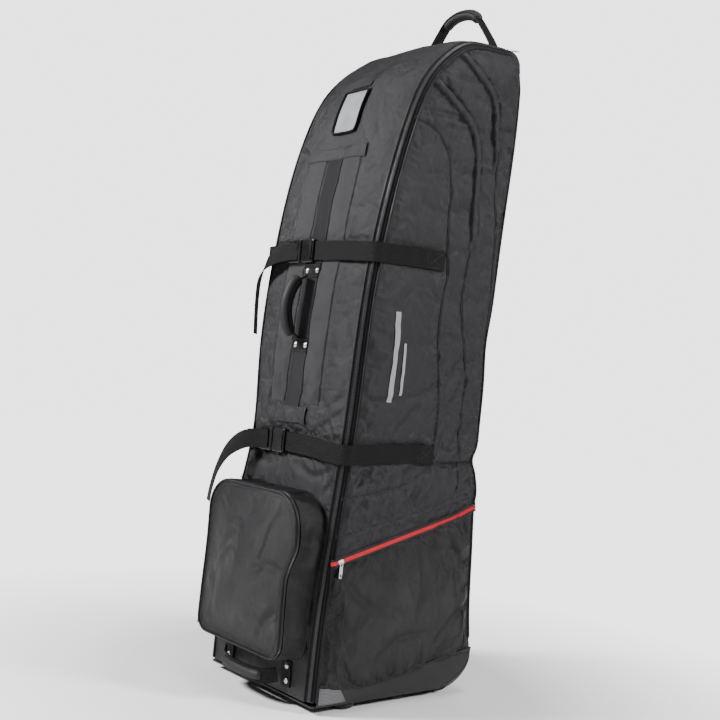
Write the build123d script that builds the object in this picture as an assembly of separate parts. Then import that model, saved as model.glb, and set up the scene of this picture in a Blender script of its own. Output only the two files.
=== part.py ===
from build123d import *
import math
import os

os.makedirs("parts", exist_ok=True)

# A soft golf travel case that stands on two wheels and two front feet.
# Millimetres. X is across the case, the front faces -Y, +Z is up, the floor is Z = 0.

# Driving dimensions
SIDE_OUT = 172.5  # outer face of each side panel
SIDE_T = 5.0  # padded side panel thickness
SKIN_T = 5.0  # padded front, back and hood thickness
FOAM_T = 8.0  # loose foam sheets behind the skins
SIDE_FOAM_INSET = 16.0  # the side foam stops this far inside the case's outline
FRONT_HALF = 155.0  # half width of the front strip between the two long zips
ZIP_HALF_W = 6.5  # one half of the long zip: tape and teeth
GAP = 0.5  # clearance between neighbouring soft pieces
BASE_Z = 12.0  # underside of the base above the floor
FOLD_Z = 917.0  # the hood folds open here, just above the upper strap
HOOD_END_Y = 178.0  # rear end of the opening hood
CENTRE_X = -6.0  # centre of the webbing and window sewn on the front
ID_Z = 1157.0  # middle of the name-card window
ID_WIDTH = 78.0
ID_HEIGHT = 100.0

WHEEL_R = 38.0
WHEEL_W = 30.0
WHEEL_X = 135.0
WHEEL_Y = 180.0
WHEEL_GAP = 4.0  # clearance round the wheel in its arch
FOOT_X = 143.0
FOOT_Y = -85.0
FOOT_R = 26.0
AXLE_R = 4.0
RUNNING_FIT = 0.05  # radial clearance of the axle in the bearings and arch walls

WEBBING_W = 38.0
WEBBING_T = 1.5
STRAP_STANDOFF = 12.0  # the straps span the padded front this far in front of it
UPPER_STRAP_Z = 870.0
LOWER_STRAP_Z = 488.0

POCKET_HALF = 145.0
POCKET_Z0 = 92.0
POCKET_Z1 = 400.0
POCKET_FRONT_Y = -240.0
POCKET_T = 3.5
POCKET_ZIP_Y = -232.0
POCKET_SLIDER_ZS = {"lower": 122, "upper": 152}

ZIP_LINE_START = (-168.0, 278.0)  # front end of each side pocket's zip (Y, Z)
ZIP_LINE_END = (204.0, 380.0)
SIDE_PULL_DROP = 3.4  # the pull hangs from this far below its slider's middle

LONG_SLIDER_X = 161.6  # the long zips' sliders, parked behind the hood
LONG_SLIDER_Y = 186.0
SLIDER_LENGTH = 13.0
SLIDER_HEIGHT = 2.2
PULL_T = 1.4

CORE_R = 3.2  # rope inside the top and front handles
TOP_HANDLE_Y = 196.0
TOP_HANDLE_Z = 1346.0
TOP_HANDLE_FOOT_X = 96.0
TOP_HANDLE_RISE = 105.0
FRONT_HANDLE_LOW = 680.0
FRONT_HANDLE_HIGH = 828.0
FRONT_HANDLE_TURN = -25.0  # the handle flops this far to the left
BASE_HANDLE_Z = 60.0
BASE_HANDLE_X = 92.0
BASE_HANDLE_DROOP = 20.0
BASE_CORE_R = 3.0

BUCKLE_H = 48.0
BUCKLE_T = 13.0
BUCKLE_SLOT = 3.4  # opening the webbing passes through
LEFT_STRAP_END = 79.0  # the left straps stop here so the plug can slide over them
INSIDE_STRAP_ZS = (520, 900)

# The outline of the case seen from the side, as (Y, Z) points.
FRONT_POINTS = [
    (-183, 12), (-182, 150), (-168, 350), (-154, 520), (-141, 790),
    (-118, 965), (-81, 1126), (-28, 1246), (32, 1302), (105, 1328),
]
TOP_END = (190, 1338)
REAR_POINTS = [
    (218, 1306), (222, 1170), (212, 1000), (202, 790), (198, 600),
    (200, 440), (212, 290), (222, 160), (237, 80),
]
TOP_CORNER = (209, 1331)
LOW_CORNER = (214, 44)
LOW_END = (150, 12)


# ---------------------------------------------------------------- helpers

def box(x0, x1, y0, y1, z0, z1):
    centre = Pos((x0 + x1) / 2, (y0 + y1) / 2, (z0 + z1) / 2)
    return centre * Box(abs(x1 - x0), abs(y1 - y0), abs(z1 - z0))


def front_edge():
    """The curved front and hood line, ending in the straight stretch on top."""
    end_tangent = (TOP_END[0] - FRONT_POINTS[-1][0], TOP_END[1] - FRONT_POINTS[-1][1])
    return Spline(*FRONT_POINTS, tangents=[(0, 1), end_tangent])


def rear_edge():
    return Spline(*REAR_POINTS)


def case_outline():
    """The whole side view of the case as one face."""
    edges = [
        front_edge(),
        Line(FRONT_POINTS[-1], TOP_END),
        ThreePointArc(TOP_END, TOP_CORNER, REAR_POINTS[0]),
        rear_edge(),
        ThreePointArc(REAR_POINTS[-1], LOW_CORNER, LOW_END),
        Line(LOW_END, FRONT_POINTS[0]),
    ]
    return make_face(edges)


def across(face, x0, x1):
    """Extrude a face drawn in (Y, Z) between two X positions."""
    return extrude(Plane.YZ.offset(x0) * face, amount=x1 - x0)


def moved_curve(edge, distance, count=22):
    """The same curve moved sideways to its left by a distance."""
    points = []
    for i in range(count + 1):
        at = edge @ (i / count)
        along = edge % (i / count)
        points.append((at.X - along.Y * distance, at.Y + along.X * distance))
    return Spline(*points)


def sheet(edge, outer, inner):
    """A face between two curves that follow one edge."""
    a = moved_curve(edge, outer)
    b = moved_curve(edge, inner)
    return make_face([a, Line(a @ 1, b @ 1), b, Line(b @ 0, a @ 0)])


def front_sheet(outer, inner):
    """A sheet along the front, hood and flat top; positive is outwards."""
    curved = sheet(front_edge(), outer, inner)
    flat = sheet(Line(FRONT_POINTS[-1], TOP_END), outer, inner)
    return curved, flat


def front_solid(outer, inner, x0, x1, z0, z1, y1=HOOD_END_Y):
    """A strip of the front or hood between two X positions and two heights."""
    keep = box(x0 - 1, x1 + 1, -400, y1, z0, z1)
    curved, flat = front_sheet(outer, inner)
    strip = across(curved, x0, x1)
    if z1 > FRONT_POINTS[-1][1]:
        strip = strip + across(flat, x0, x1)
    return strip & keep


def rear_solid(outer, inner, x0, x1, z0, z1):
    """A strip of the back between two X positions and two heights."""
    face = sheet(rear_edge(), outer, inner)
    return across(face, x0, x1) & box(x0 - 1, x1 + 1, 0, 400, z0, z1)


def front_y(z):
    """Y of the front line at a height, read off the curve itself."""
    edge = front_edge()
    low, high = 0.0, 1.0
    for _ in range(30):
        mid = (low + high) / 2
        if (edge @ mid).Y < z:
            low = mid
        else:
            high = mid
    return (edge @ low).X


def front_lean(z):
    """Angle of the front line from vertical at a height, leaning back positive."""
    step = 8.0
    return math.degrees(math.atan2(front_y(z + step) - front_y(z - step), 2 * step))


def ribbon(points, thickness):
    """A face of constant thickness that follows a path, with mitred corners."""
    left, right = [], []
    for i, point in enumerate(points):
        before = points[max(i - 1, 0)]
        after = points[min(i + 1, len(points) - 1)]
        first = math.atan2(point[1] - before[1], point[0] - before[0])
        second = math.atan2(after[1] - point[1], after[0] - point[0])
        first = second if i == 0 else first
        second = first if i == len(points) - 1 else second
        angle = (first + second) / 2
        reach = thickness / 2 / math.cos((second - first) / 2)
        side = (-math.sin(angle) * reach, math.cos(angle) * reach)
        left.append((point[0] + side[0], point[1] + side[1]))
        right.append((point[0] - side[0], point[1] - side[1]))
    return make_face(Polyline(*left, *reversed(right), close=True))


def mirrored(shape):
    return mirror(shape, about=Plane.YZ)


def group(*shapes):
    solids = [solid for shape in shapes for solid in shape.solids()]
    return Compound(children=solids)


def save(shape, node):
    solids = shape.solids()
    out = solids[0] if len(solids) == 1 else Compound(children=solids)
    export_step(out, "parts/" + node + ".step")


def save_pair(shape, node):
    """Write the right-hand piece and its mirror image."""
    save(shape, node + "_right")
    save(mirrored(shape), node + "_left")


# ---------------------------------------------------------------- side panels

def scuff_outline(rise):
    """The moulded strip low on each side; its top edge climbs to the rear."""
    top = Spline((-190, 56 + rise), (-60, 46 + rise), (60, 62 + rise), (245, 94 + rise))
    return make_face([
        top,
        Line((245, 94 + rise), (245, 0)),
        Line((245, 0), (-190, 0)),
        Line((-190, 0), (-190, 56 + rise)),
    ])


def side_panel():
    whole = across(case_outline(), SIDE_OUT - SIDE_T, SIDE_OUT)
    return whole - across(scuff_outline(GAP), SIDE_OUT - SIDE_T - 1, SIDE_OUT + 1)


def scuff_strip():
    whole = across(case_outline(), SIDE_OUT - SIDE_T, SIDE_OUT + 1.5)
    return whole & across(scuff_outline(0), SIDE_OUT - SIDE_T - 1, SIDE_OUT + 3)


def side_foam():
    """Loose foam sheet inside the side panel, clear of the front zip and the wheels."""
    x1 = SIDE_OUT - SIDE_T - GAP
    front = moved_curve(front_edge(), -SIDE_FOAM_INSET)
    rear = moved_curve(rear_edge(), -SIDE_FOAM_INSET)
    crown = (TOP_END[0] - 6, TOP_END[1] - SIDE_FOAM_INSET)
    face = make_face([front, Line(front @ 1, crown), Line(crown, rear @ 0), rear,
                      Line(rear @ 1, front @ 0)])
    return across(face, x1 - SIDE_T, x1) & box(0, 400, -400, 400, 112, 1500)


def side_pocket_panel():
    """Flat outer panel of the side pocket, below the slanting zip."""
    y0, z0 = ZIP_LINE_START
    y1, z1 = ZIP_LINE_END
    drop = 9.0
    region = make_face(Polyline(
        (-166, z0 - drop), (y1, z1 - drop), (y1 - 6, 320), (206, 210), (214, 106),
        (60, 76), (-60, 62), (-166, 70), close=True))
    return across(region, SIDE_OUT + GAP, SIDE_OUT + 2.5)


def zip_angle():
    (y0, z0), (y1, z1) = ZIP_LINE_START, ZIP_LINE_END
    return math.degrees(math.atan2(z1 - z0, y1 - y0))


def along_side_zip(shape):
    """Turn a shape drawn along +Y from the origin onto the slanting zip."""
    y0, z0 = ZIP_LINE_START
    return Pos(0, y0, z0) * (Rot(zip_angle(), 0, 0) * shape)


def side_zip():
    (y0, z0), (y1, z1) = ZIP_LINE_START, ZIP_LINE_END
    length = math.hypot(y1 - y0, z1 - z0)
    tape = box(SIDE_OUT + GAP, SIDE_OUT + 2.0, 0, length, -6, 6)
    teeth = box(SIDE_OUT + 1.9, SIDE_OUT + 3.0, 0, length, -2, 2)
    return along_side_zip(tape + teeth)


def slider_body(length, width, height):
    """A zip slider lying on the plane Z = 0, travelling along X, with a bridge."""
    plate = fillet(Box(length, width, height).edges().filter_by(Axis.Z), 2.5)
    plate = Pos(0, 0, height / 2) * plate
    bridge = Pos(0, 0, height + 1.0) * Box(length * 0.62, 2.6, 2.0 + 0.2)
    hole = Pos(0, 0, height + 0.95) * Rot(90, 0, 0) * Cylinder(0.9, 6)
    return (plate + bridge) - hole


def pull_plate(length, width, thick):
    """A pull plate that hangs from the origin along -X, with a ring end."""
    strap = Pos(-length / 2, 0, 0) * Box(length, width, thick)
    strap = fillet(strap.edges().filter_by(Axis.Z), width * 0.3)
    window = Pos(-length * 0.80, 0, 0) * Box(length * 0.2, width * 0.42, thick * 2)
    fork = Pos(-2.0, 0, 0) * Box(4.5, 3.4, thick * 2)
    return strap - window - fork


def side_zip_slider():
    body = slider_body(SLIDER_LENGTH, 9.5, SLIDER_HEIGHT)
    placed = Pos(SIDE_OUT + 3.5, 20, 0) * (Rot(0, 90, 0) * Rot(0, 0, 90) * body)
    return along_side_zip(placed)


def side_zip_pull():
    """Hangs straight down from just below its slider's bridge."""
    slope = math.radians(zip_angle())
    y = ZIP_LINE_START[0] + 20 * math.cos(slope)
    z = ZIP_LINE_START[1] + 20 * math.sin(slope) - SIDE_PULL_DROP
    plate = Rot(0, -90, 0) * pull_plate(27, 7.5, PULL_T)
    return Pos(SIDE_OUT + 6.9, y, z) * plate


# ---------------------------------------------------------------- back and base

def back_panel():
    x = SIDE_OUT - SIDE_T - GAP
    return rear_solid(0, -SKIN_T, -x, x, 301, 1298)


def back_foam():
    return rear_solid(-SKIN_T - GAP, -SKIN_T - GAP - FOAM_T, -150, 150, 330, 1290)


def kick_plate():
    """Moulded plate low on the back, with shallow stiffening ribs inside."""
    x = SIDE_OUT - SIDE_T - GAP
    plate = rear_solid(0, -4, -x, x, 104, 300)
    ribs = [rear_solid(-3.9, -8, rx - 2, rx + 2, 112, 292) for rx in (-90, -30, 30, 90)]
    return plate + ribs


def skid_rails():
    """Two wear rails on the kick plate that take the ground on kerbs and steps."""
    rails = [rear_solid(GAP, 5, rx - 9, rx + 9, 112, 292) for rx in (-62, 62)]
    return group(*rails)


def base_tray():
    """Moulded floor with a low front lip and a curved wall between the wheel arches."""
    x = SIDE_OUT - SIDE_T - GAP
    floor = box(-x, x, -176, 104, BASE_Z, BASE_Z + 4)
    tail = box(-104, 104, 103, LOW_END[0] + 2, BASE_Z, BASE_Z + 4)
    corner = ThreePointArc(REAR_POINTS[-1], LOW_CORNER, LOW_END)
    wall = across(sheet(corner, 0, -4), -104, 104)
    wall = wall + rear_solid(0, -4, -104, 104, 70, 103)
    holes = [Pos(s * FOOT_X, FOOT_Y, BASE_Z) * Cylinder(2.6, 20) for s in (-1, 1)]
    return (floor + tail + wall) - holes


def base_board():
    """Stiff board that carries the golf bag on the floor of the case."""
    return box(-158, 158, -168, 100, BASE_Z + 6.5, BASE_Z + 10)


def wheel_arch():
    """Right-hand moulded arch that holds the wheel at the lower rear corner."""
    x0, x1 = 104.5, SIDE_OUT - SIDE_T - GAP
    block = across(case_outline(), x0, x1) & box(x0, x1, 106, 300, BASE_Z, 103)
    pocket_half = WHEEL_W / 2 + WHEEL_GAP
    arch = Pos(WHEEL_X, WHEEL_Y, WHEEL_R) * Rot(0, 90, 0) * Cylinder(
        WHEEL_R + WHEEL_GAP, 2 * pocket_half)
    mouth = box(WHEEL_X - pocket_half, WHEEL_X + pocket_half,
                WHEEL_Y - WHEEL_R - WHEEL_GAP, WHEEL_Y + WHEEL_R, 0, 20)
    bore = Pos(WHEEL_X, WHEEL_Y, WHEEL_R) * Rot(0, 90, 0) * Cylinder(
        AXLE_R + RUNNING_FIT, 80)
    return block - arch - mouth - bore


def turned(radius, x0, x1):
    """A cylinder on the wheel's axis between two X positions."""
    return Pos((x0 + x1) / 2, WHEEL_Y, WHEEL_R) * Rot(0, 90, 0) * Cylinder(radius, x1 - x0)


def wheel_tyre():
    half = WHEEL_W / 2
    tyre = turned(WHEEL_R, WHEEL_X - half, WHEEL_X + half)
    tyre = fillet(tyre.edges().filter_by(GeomType.CIRCLE), 6)
    grooves = [
        turned(WHEEL_R + 1, WHEEL_X + g - 1, WHEEL_X + g + 1) - turned(WHEEL_R - 1.4, 0, 200)
        for g in (-6, 6)
    ]
    return tyre - turned(25.2, 0, 200) - grooves


def wheel_hub():
    half = WHEEL_W / 2 - 2
    hub = turned(25, WHEEL_X - half, WHEEL_X + half)
    recess = [
        turned(21, WHEEL_X + s * half - 5, WHEEL_X + s * half + 5)
        - turned(14, 0, 200)
        for s in (-1, 1)
    ]
    spokes = [
        Pos(0, WHEEL_Y, WHEEL_R) * Rot(72 * i, 0, 0)
        * box(WHEEL_X - half + 2, WHEEL_X + half - 2, -2, 2, 12, 23)
        for i in range(5)
    ]
    hub = hub - recess + spokes
    return hub - turned(11.05, 0, 200)


def wheel_bearings():
    """Two ball bearings pressed in the hub, each drawn as its plain ring."""
    rings = []
    for side in (-1, 1):
        mid = WHEEL_X + side * 9.0
        ring = turned(11, mid - 3.5, mid + 3.5) - turned(AXLE_R + RUNNING_FIT, 0, 200)
        rings.append(ring)
    return group(*rings)


def axle():
    """Steel pin through the arch walls, with a head on its inner end."""
    pin = turned(AXLE_R, 103.9, SIDE_OUT - SIDE_T - 2)
    head = turned(7, 101.5, 103.9)
    return pin + head


def front_feet():
    feet = []
    for side in (-1, 1):
        at = Pos(side * FOOT_X, FOOT_Y, 0)
        cone = Cylinder(FOOT_R, BASE_Z - GAP, align=(Align.CENTER, Align.CENTER, Align.MIN))
        cone = fillet(cone.edges().group_by(Axis.Z)[0], 9)
        hole = Cylinder(2.6, 40)
        seat = Cylinder(5.5, 8, align=(Align.CENTER, Align.CENTER, Align.CENTER))
        feet.append(at * (cone - hole - seat))
    return group(*feet)


def foot_screws():
    screws = []
    for side in (-1, 1):
        shank = Pos(0, 0, 3.9) * Cylinder(
            2.4, 12.1, align=(Align.CENTER, Align.CENTER, Align.MIN))
        head = Pos(0, 0, 3.9) * Cylinder(
            5, 2.6, align=(Align.CENTER, Align.CENTER, Align.MAX))
        slot = Pos(0, 0, 1.3) * Box(7, 1.2, 1.6)
        screws.append(Pos(side * FOOT_X, FOOT_Y, 0) * (shank + head - slot))
    return group(*screws)


# ---------------------------------------------------------------- front, hood and long zips

def front_panel():
    return front_solid(0, -SKIN_T, -FRONT_HALF, FRONT_HALF, 20, FOLD_Z - GAP)


def front_foam():
    inner = -SKIN_T - GAP
    return front_solid(inner, inner - FOAM_T, -148, 148, 34, FOLD_Z - 20)


def hood_panel():
    return front_solid(0, -SKIN_T, -FRONT_HALF, FRONT_HALF, FOLD_Z + GAP, 1400)


def hood_foam():
    """Thick pad under the crown that shields the club heads."""
    inner = -SKIN_T - GAP
    return front_solid(inner, inner - 12, -146, 146, 1090, 1400, HOOD_END_Y - 8)


def zip_strip(x0, x1, z0, z1, y1=HOOD_END_Y):
    return front_solid(0, -3, x0, x1, z0, z1, y1)


def front_zip_lower():
    """The opening half of both long zips, beside the lower front panel."""
    x0 = FRONT_HALF + GAP
    right = zip_strip(x0, x0 + ZIP_HALF_W - GAP, 20, FOLD_Z - GAP)
    return group(right, mirrored(right))


def front_zip_hood():
    """The opening half of both long zips, on the hood."""
    x0 = FRONT_HALF + GAP
    right = zip_strip(x0, x0 + ZIP_HALF_W - GAP, FOLD_Z + GAP, 1400)
    return group(right, mirrored(right))


def side_zip_long():
    """The fixed half of the right-hand long zip, sewn to the side panel."""
    x0 = FRONT_HALF + GAP + ZIP_HALF_W
    return zip_strip(x0, SIDE_OUT - SIDE_T - GAP, 20, 1400, TOP_END[0])


def top_yoke():
    """Fixed strip behind the hood that carries the top handle."""
    half = FRONT_HALF + ZIP_HALF_W
    flat = sheet(Line(FRONT_POINTS[-1], TOP_END), 0, -SKIN_T)
    corner = sheet(ThreePointArc(TOP_END, TOP_CORNER, REAR_POINTS[0]), 0, -SKIN_T)
    strip = across(flat, -half, half) + across(corner, -half, half)
    strip = strip + rear_solid(0, -SKIN_T, -half, half, 1298 + GAP, 1400)
    return strip & box(-200, 200, HOOD_END_Y + GAP, 300, 1200, 1400)


def top_tangent():
    dy = TOP_END[0] - FRONT_POINTS[-1][0]
    dz = TOP_END[1] - FRONT_POINTS[-1][1]
    return math.degrees(math.atan2(dz, dy))


def on_top(shape, y, lift):
    """Place a shape drawn on Z = 0 on the flat top of the case."""
    slope = math.radians(top_tangent())
    z = FRONT_POINTS[-1][1] + (y - FRONT_POINTS[-1][0]) * math.tan(slope)
    return Pos(0, y, z) * (Rot(top_tangent(), 0, 0) * (Pos(0, 0, lift) * shape))


def long_zip_slider():
    """Parked behind the hood's end so that the hood is free to fold."""
    body = Rot(0, 0, 90) * slider_body(SLIDER_LENGTH, 9.5, SLIDER_HEIGHT)
    return on_top(Pos(LONG_SLIDER_X, 0, 0) * body, LONG_SLIDER_Y, 0.6)


def long_zip_pull():
    """Lies to the rear of its slider, over the rounded top corner."""
    plate = pull_plate(26, 7, PULL_T)
    return on_top(Pos(LONG_SLIDER_X, 0, 0) * (Rot(0, 0, -90) * plate), LONG_SLIDER_Y + 1, 4.0)


# ---------------------------------------------------------------- sewn pieces on the front

def centre_webbing_lower():
    return front_solid(2.6, 0.6, CENTRE_X - 22, CENTRE_X + 22, 552, FOLD_Z - GAP)


def centre_webbing_hood():
    return front_solid(2.6, 0.6, CENTRE_X - 22, CENTRE_X + 22, FOLD_Z + GAP, 1048)


def on_hood(shape, z, lift):
    """Place a flat shape, drawn in X and Z facing -Y, on the hood at a height."""
    lean = front_lean(z)
    return Pos(CENTRE_X, front_y(z), z) * (Rot(-lean, 0, 0) * (Pos(0, -lift, 0) * shape))


def rounded_plate(width, height, thick, radius):
    plate = Box(width, thick, height)
    return fillet(plate.edges().filter_by(Axis.Y), radius)


def hood_band():
    """Doubled cross band that hides the top of the webbing."""
    return on_hood(rounded_plate(172, 34, 2.4, 3), 1070, 2.6)


def id_frame():
    outer = rounded_plate(ID_WIDTH, ID_HEIGHT, 2.4, 6)
    inner = rounded_plate(ID_WIDTH - 18, ID_HEIGHT - 18, 6, 4)
    return on_hood(outer - inner, ID_Z, 4.4)


def id_window():
    return on_hood(rounded_plate(ID_WIDTH - 4, ID_HEIGHT - 4, 0.6, 5), ID_Z, 2.6)


def id_card():
    return on_hood(rounded_plate(ID_WIDTH - 8, ID_HEIGHT - 10, 0.5, 2), ID_Z, 1.8)


# ---------------------------------------------------------------- compression straps

def strap_plan(z, rear_y, end_x):
    """Path of a strap in plan: down the side, round the corner, across the front."""
    yf = front_y(z)
    x = SIDE_OUT + 1.4
    return [(x, rear_y), (x, yf - 2.5), (x - 8, yf - 6), (146, yf - STRAP_STANDOFF),
            (end_x, yf - STRAP_STANDOFF)]


def strap_right(z, rear_y):
    face = ribbon(strap_plan(z, rear_y, -2.0), WEBBING_T)
    return extrude(Plane.XY.offset(z - WEBBING_W / 2) * face, amount=WEBBING_W)


def strap_left(z, rear_y):
    face = ribbon(strap_plan(z, rear_y, LEFT_STRAP_END), WEBBING_T)
    return mirrored(extrude(Plane.XY.offset(z - WEBBING_W / 2) * face, amount=WEBBING_W))


def buckle_socket(z):
    """Female half: a hollow box, open to the left, with a window for each prong."""
    y = front_y(z) - STRAP_STANDOFF
    shell = Box(38, BUCKLE_T, BUCKLE_H)
    shell = fillet(shell.edges().filter_by(Axis.Y), 5)
    shell = fillet(shell.edges().filter_by(Axis.X), 2.4)
    hollow = Pos(-4, 0, 0) * Box(32, 8.4, 41)
    windows = Pos(1, 0, 0) * Box(13, 8.4, 60)
    slot = Pos(15.2, 0, 0) * Box(BUCKLE_SLOT, 20, WEBBING_W + 1)
    relief = Pos(-19, -6.4, 0) * Rot(90, 0, 0) * Cylinder(9, 3)
    return Pos(-22, y, z) * (shell - hollow - windows - slot - relief)


def buckle_plug(z):
    """Male half: ladder-lock frame with two side prongs and a centre tongue."""
    y = front_y(z) - STRAP_STANDOFF
    frame = Box(40, BUCKLE_T, BUCKLE_H)
    frame = fillet(frame.edges().filter_by(Axis.Y), 4)
    frame = fillet(frame.edges().filter_by(Axis.X), 2.4)
    frame = frame - Pos(-3, 0, 0) * Box(38, BUCKLE_SLOT, WEBBING_W + 1)
    for bar_x in (-12.5, 1.5):
        frame = frame - Pos(bar_x, -5, 0) * Box(8, 10, WEBBING_W + 1)
    prongs = [Pos(32, 0, s * 15.5) * Box(26, 6, 5) for s in (-1, 1)]
    heads = [Pos(40, 0, s * 17.4) * Box(9, 6, 5) for s in (-1, 1)]
    tongue = Pos(30, 0, 0) * Box(22, 6, 7)
    return Pos(-64, y, z) * (frame + prongs + heads + tongue)


def upper_tail():
    """Loose end that runs left over the edge of the case and hangs down."""
    z = UPPER_STRAP_Z
    y = front_y(z) - STRAP_STANDOFF - 8.0
    path = [(-56, y), (-176, y), (-182, y + 5), (-182, y + 38)]
    face = ribbon(path, WEBBING_T)
    run = extrude(Plane.XY.offset(z - WEBBING_W / 2) * face, amount=WEBBING_W)
    hang_face = ribbon([(-182, y + 6), (-182, y + 38)], WEBBING_T)
    hang = extrude(Plane.XY.offset(z - 190) * hang_face, amount=190)
    return run + hang


def lower_tail():
    """Loose end that droops to the left and stands off the front of the case."""
    z = LOWER_STRAP_Z
    y = front_y(z) - STRAP_STANDOFF - 7.2
    face = ribbon([(0, z), (-56, z - 4), (-102, z - 50), (-122, z - 130)], WEBBING_W)
    flat = extrude(Plane.XZ * face, amount=WEBBING_T)
    return Pos(-56, y, 0) * Rot(0, 0, 24) * flat


# ---------------------------------------------------------------- shoe pocket

def pocket_outline(grow):
    width = 2 * (POCKET_HALF + grow)
    height = POCKET_Z1 - POCKET_Z0 + 2 * grow
    mid = (POCKET_Z0 + POCKET_Z1) / 2
    face = Pos(0, mid) * Rectangle(width, height)
    upper = face.vertices().group_by(Axis.Y)[-1]
    face = fillet(upper, 62 + grow)
    lower = face.vertices().group_by(Axis.Y)[0]
    return fillet(lower, 30 + grow)


def pocket_slab(grow, y0, y1):
    """The pocket's outline made solid between two Y positions."""
    return extrude(Plane.XZ.offset(-y1) * pocket_outline(grow), amount=y1 - y0)


def behind_front():
    """Everything behind the front panel, with a little clearance."""
    edge = moved_curve(front_edge(), 3.4)
    face = make_face([edge, Line(edge @ 1, (400, 1400)), Line((400, 1400), (400, 0)),
                      Line((400, 0), edge @ 0)])
    return across(face, -200, 200)


def pocket_gusset():
    wall = pocket_slab(0, -227.9, -150) - pocket_slab(-2.5, -230, -140)
    return wall - behind_front()


def pocket_cover():
    plate = pocket_slab(0, POCKET_FRONT_Y, POCKET_FRONT_Y + POCKET_T)
    return fillet(plate.faces().sort_by(Axis.Y)[0].outer_wire().edges(), 2.0)


def pocket_zip_ring(y0, y1):
    """One half of the pocket zip: a ring open along the hinge at the bottom."""
    ring = pocket_slab(0, y0, y1) - pocket_slab(-3, y0 - 1, y1 + 1)
    return ring - box(-100, 100, -300, -100, 0, 140)


def pocket_slider(z):
    body = Rot(0, -90, 0) * slider_body(SLIDER_LENGTH, 9, SLIDER_HEIGHT)
    return Pos(-POCKET_HALF - 0.6, POCKET_ZIP_Y, z) * body


def pocket_pull(z):
    plate = Rot(0, -90, 0) * pull_plate(22, 7, PULL_T)
    return Pos(-POCKET_HALF - 4.0, POCKET_ZIP_Y, z) * plate


# ---------------------------------------------------------------- handles

def tube_along(path, radius, trim0, trim1):
    """A round bar along part of a path."""
    part = path.trim(trim0, trim1)
    profile = Plane(origin=part @ 0, z_dir=part % 0) * Circle(radius)
    return sweep(profile, path=part)


def handle_bars(path, core_r, grip_r, grip_from, grip_to):
    core = tube_along(path, core_r, 0.0, 1.0)
    grip = tube_along(path, grip_r, grip_from, grip_to)
    bored = grip - tube_along(path, core_r + 0.3, grip_from - 0.03, grip_to + 0.03)
    return core, bored


def top_handle():
    z = TOP_HANDLE_Z
    half = [(92, 14), (62, 60), (29, 96)]
    left = [(-x, TOP_HANDLE_Y, z + rise) for x, rise in half]
    right = [(x, TOP_HANDLE_Y, z + rise) for x, rise in reversed(half)]
    path = Spline(*left, (0, TOP_HANDLE_Y, z + TOP_HANDLE_RISE), *right)
    return handle_bars(path, CORE_R, 11, 0.27, 0.73)


def top_handle_feet():
    feet = [Pos(s * TOP_HANDLE_FOOT_X, 0, 0) * Box(34, 26, 2.6) for s in (-1, 1)]
    return group(*[on_top(foot, 194, 3.0) for foot in feet])


def front_handle_frame():
    """Place: the origin at the lower anchor, Z up along the front, -Y outwards."""
    y0 = front_y(FRONT_HANDLE_LOW)
    y1 = front_y(FRONT_HANDLE_HIGH)
    lean = math.degrees(math.atan2(y1 - y0, FRONT_HANDLE_HIGH - FRONT_HANDLE_LOW))
    return Pos(CENTRE_X, y0, FRONT_HANDLE_LOW) * Rot(-lean, 0, 0)


def front_handle():
    length = FRONT_HANDLE_HIGH - FRONT_HANDLE_LOW
    path = Spline((0, -12, 10), (0, -46, 38), (0, -54, length / 2),
                  (0, -46, length - 38), (0, -12, length - 10))
    core, grip = handle_bars(path, CORE_R, 12, 0.22, 0.78)
    turn = Pos(0, -7, 0) * Rot(0, 0, FRONT_HANDLE_TURN) * Pos(0, 7, 0)
    place = front_handle_frame()
    return place * (turn * core), place * (turn * grip)


def front_handle_anchors():
    length = FRONT_HANDLE_HIGH - FRONT_HANDLE_LOW
    plates = [Pos(0, -4.4, z) * rounded_plate(42, 24, 2.2, 3) for z in (-2, length + 2)]
    return group(*[front_handle_frame() * plate for plate in plates])


def rivet():
    """A flat rivet head facing -Y, standing on the plane Y = 0."""
    disc = chamfer(Cylinder(5.2, 2.2).edges().group_by(Axis.Z)[-1], 0.6)
    return Pos(0, -1.1, 0) * Rot(90, 0, 0) * disc


def front_handle_rivets():
    length = FRONT_HANDLE_HIGH - FRONT_HANDLE_LOW
    heads = [
        front_handle_frame() * (Pos(x, -5.8, z) * rivet())
        for x in (-13, 13) for z in (-2, length + 2)
    ]
    return group(*heads)


def base_handle():
    y = front_y(BASE_HANDLE_Z) - 6
    x = BASE_HANDLE_X - 6
    path = Spline((-x, -8, 0), (-x + 24, -30, 0), (0, -38, 0), (x - 24, -30, 0), (x, -8, 0))
    core, grip = handle_bars(path, BASE_CORE_R, 10, 0.17, 0.83)
    place = Pos(0, y, BASE_HANDLE_Z) * Rot(BASE_HANDLE_DROOP, 0, 0)
    return place * core, place * grip


def base_handle_anchors():
    y = front_y(BASE_HANDLE_Z)
    plates = [
        Pos(s * BASE_HANDLE_X, y - 2.0, BASE_HANDLE_Z) * rounded_plate(26, 46, 2.4, 3)
        for s in (-1, 1)
    ]
    return group(*plates)


def base_handle_rivets():
    y = front_y(BASE_HANDLE_Z) - 3.4
    heads = [
        Pos(s * (BASE_HANDLE_X + 4), y, BASE_HANDLE_Z + dz) * rivet()
        for s in (-1, 1) for dz in (-13, 13)
    ]
    return group(*heads)


# ---------------------------------------------------------------- inside the case

def inside_straps():
    """Two flat straps on the back wall that hold the golf bag."""
    straps = [
        rear_solid(-15.0, -16.5, -110, 110, z - 19, z + 19) for z in INSIDE_STRAP_ZS
    ]
    return group(*straps)


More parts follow.
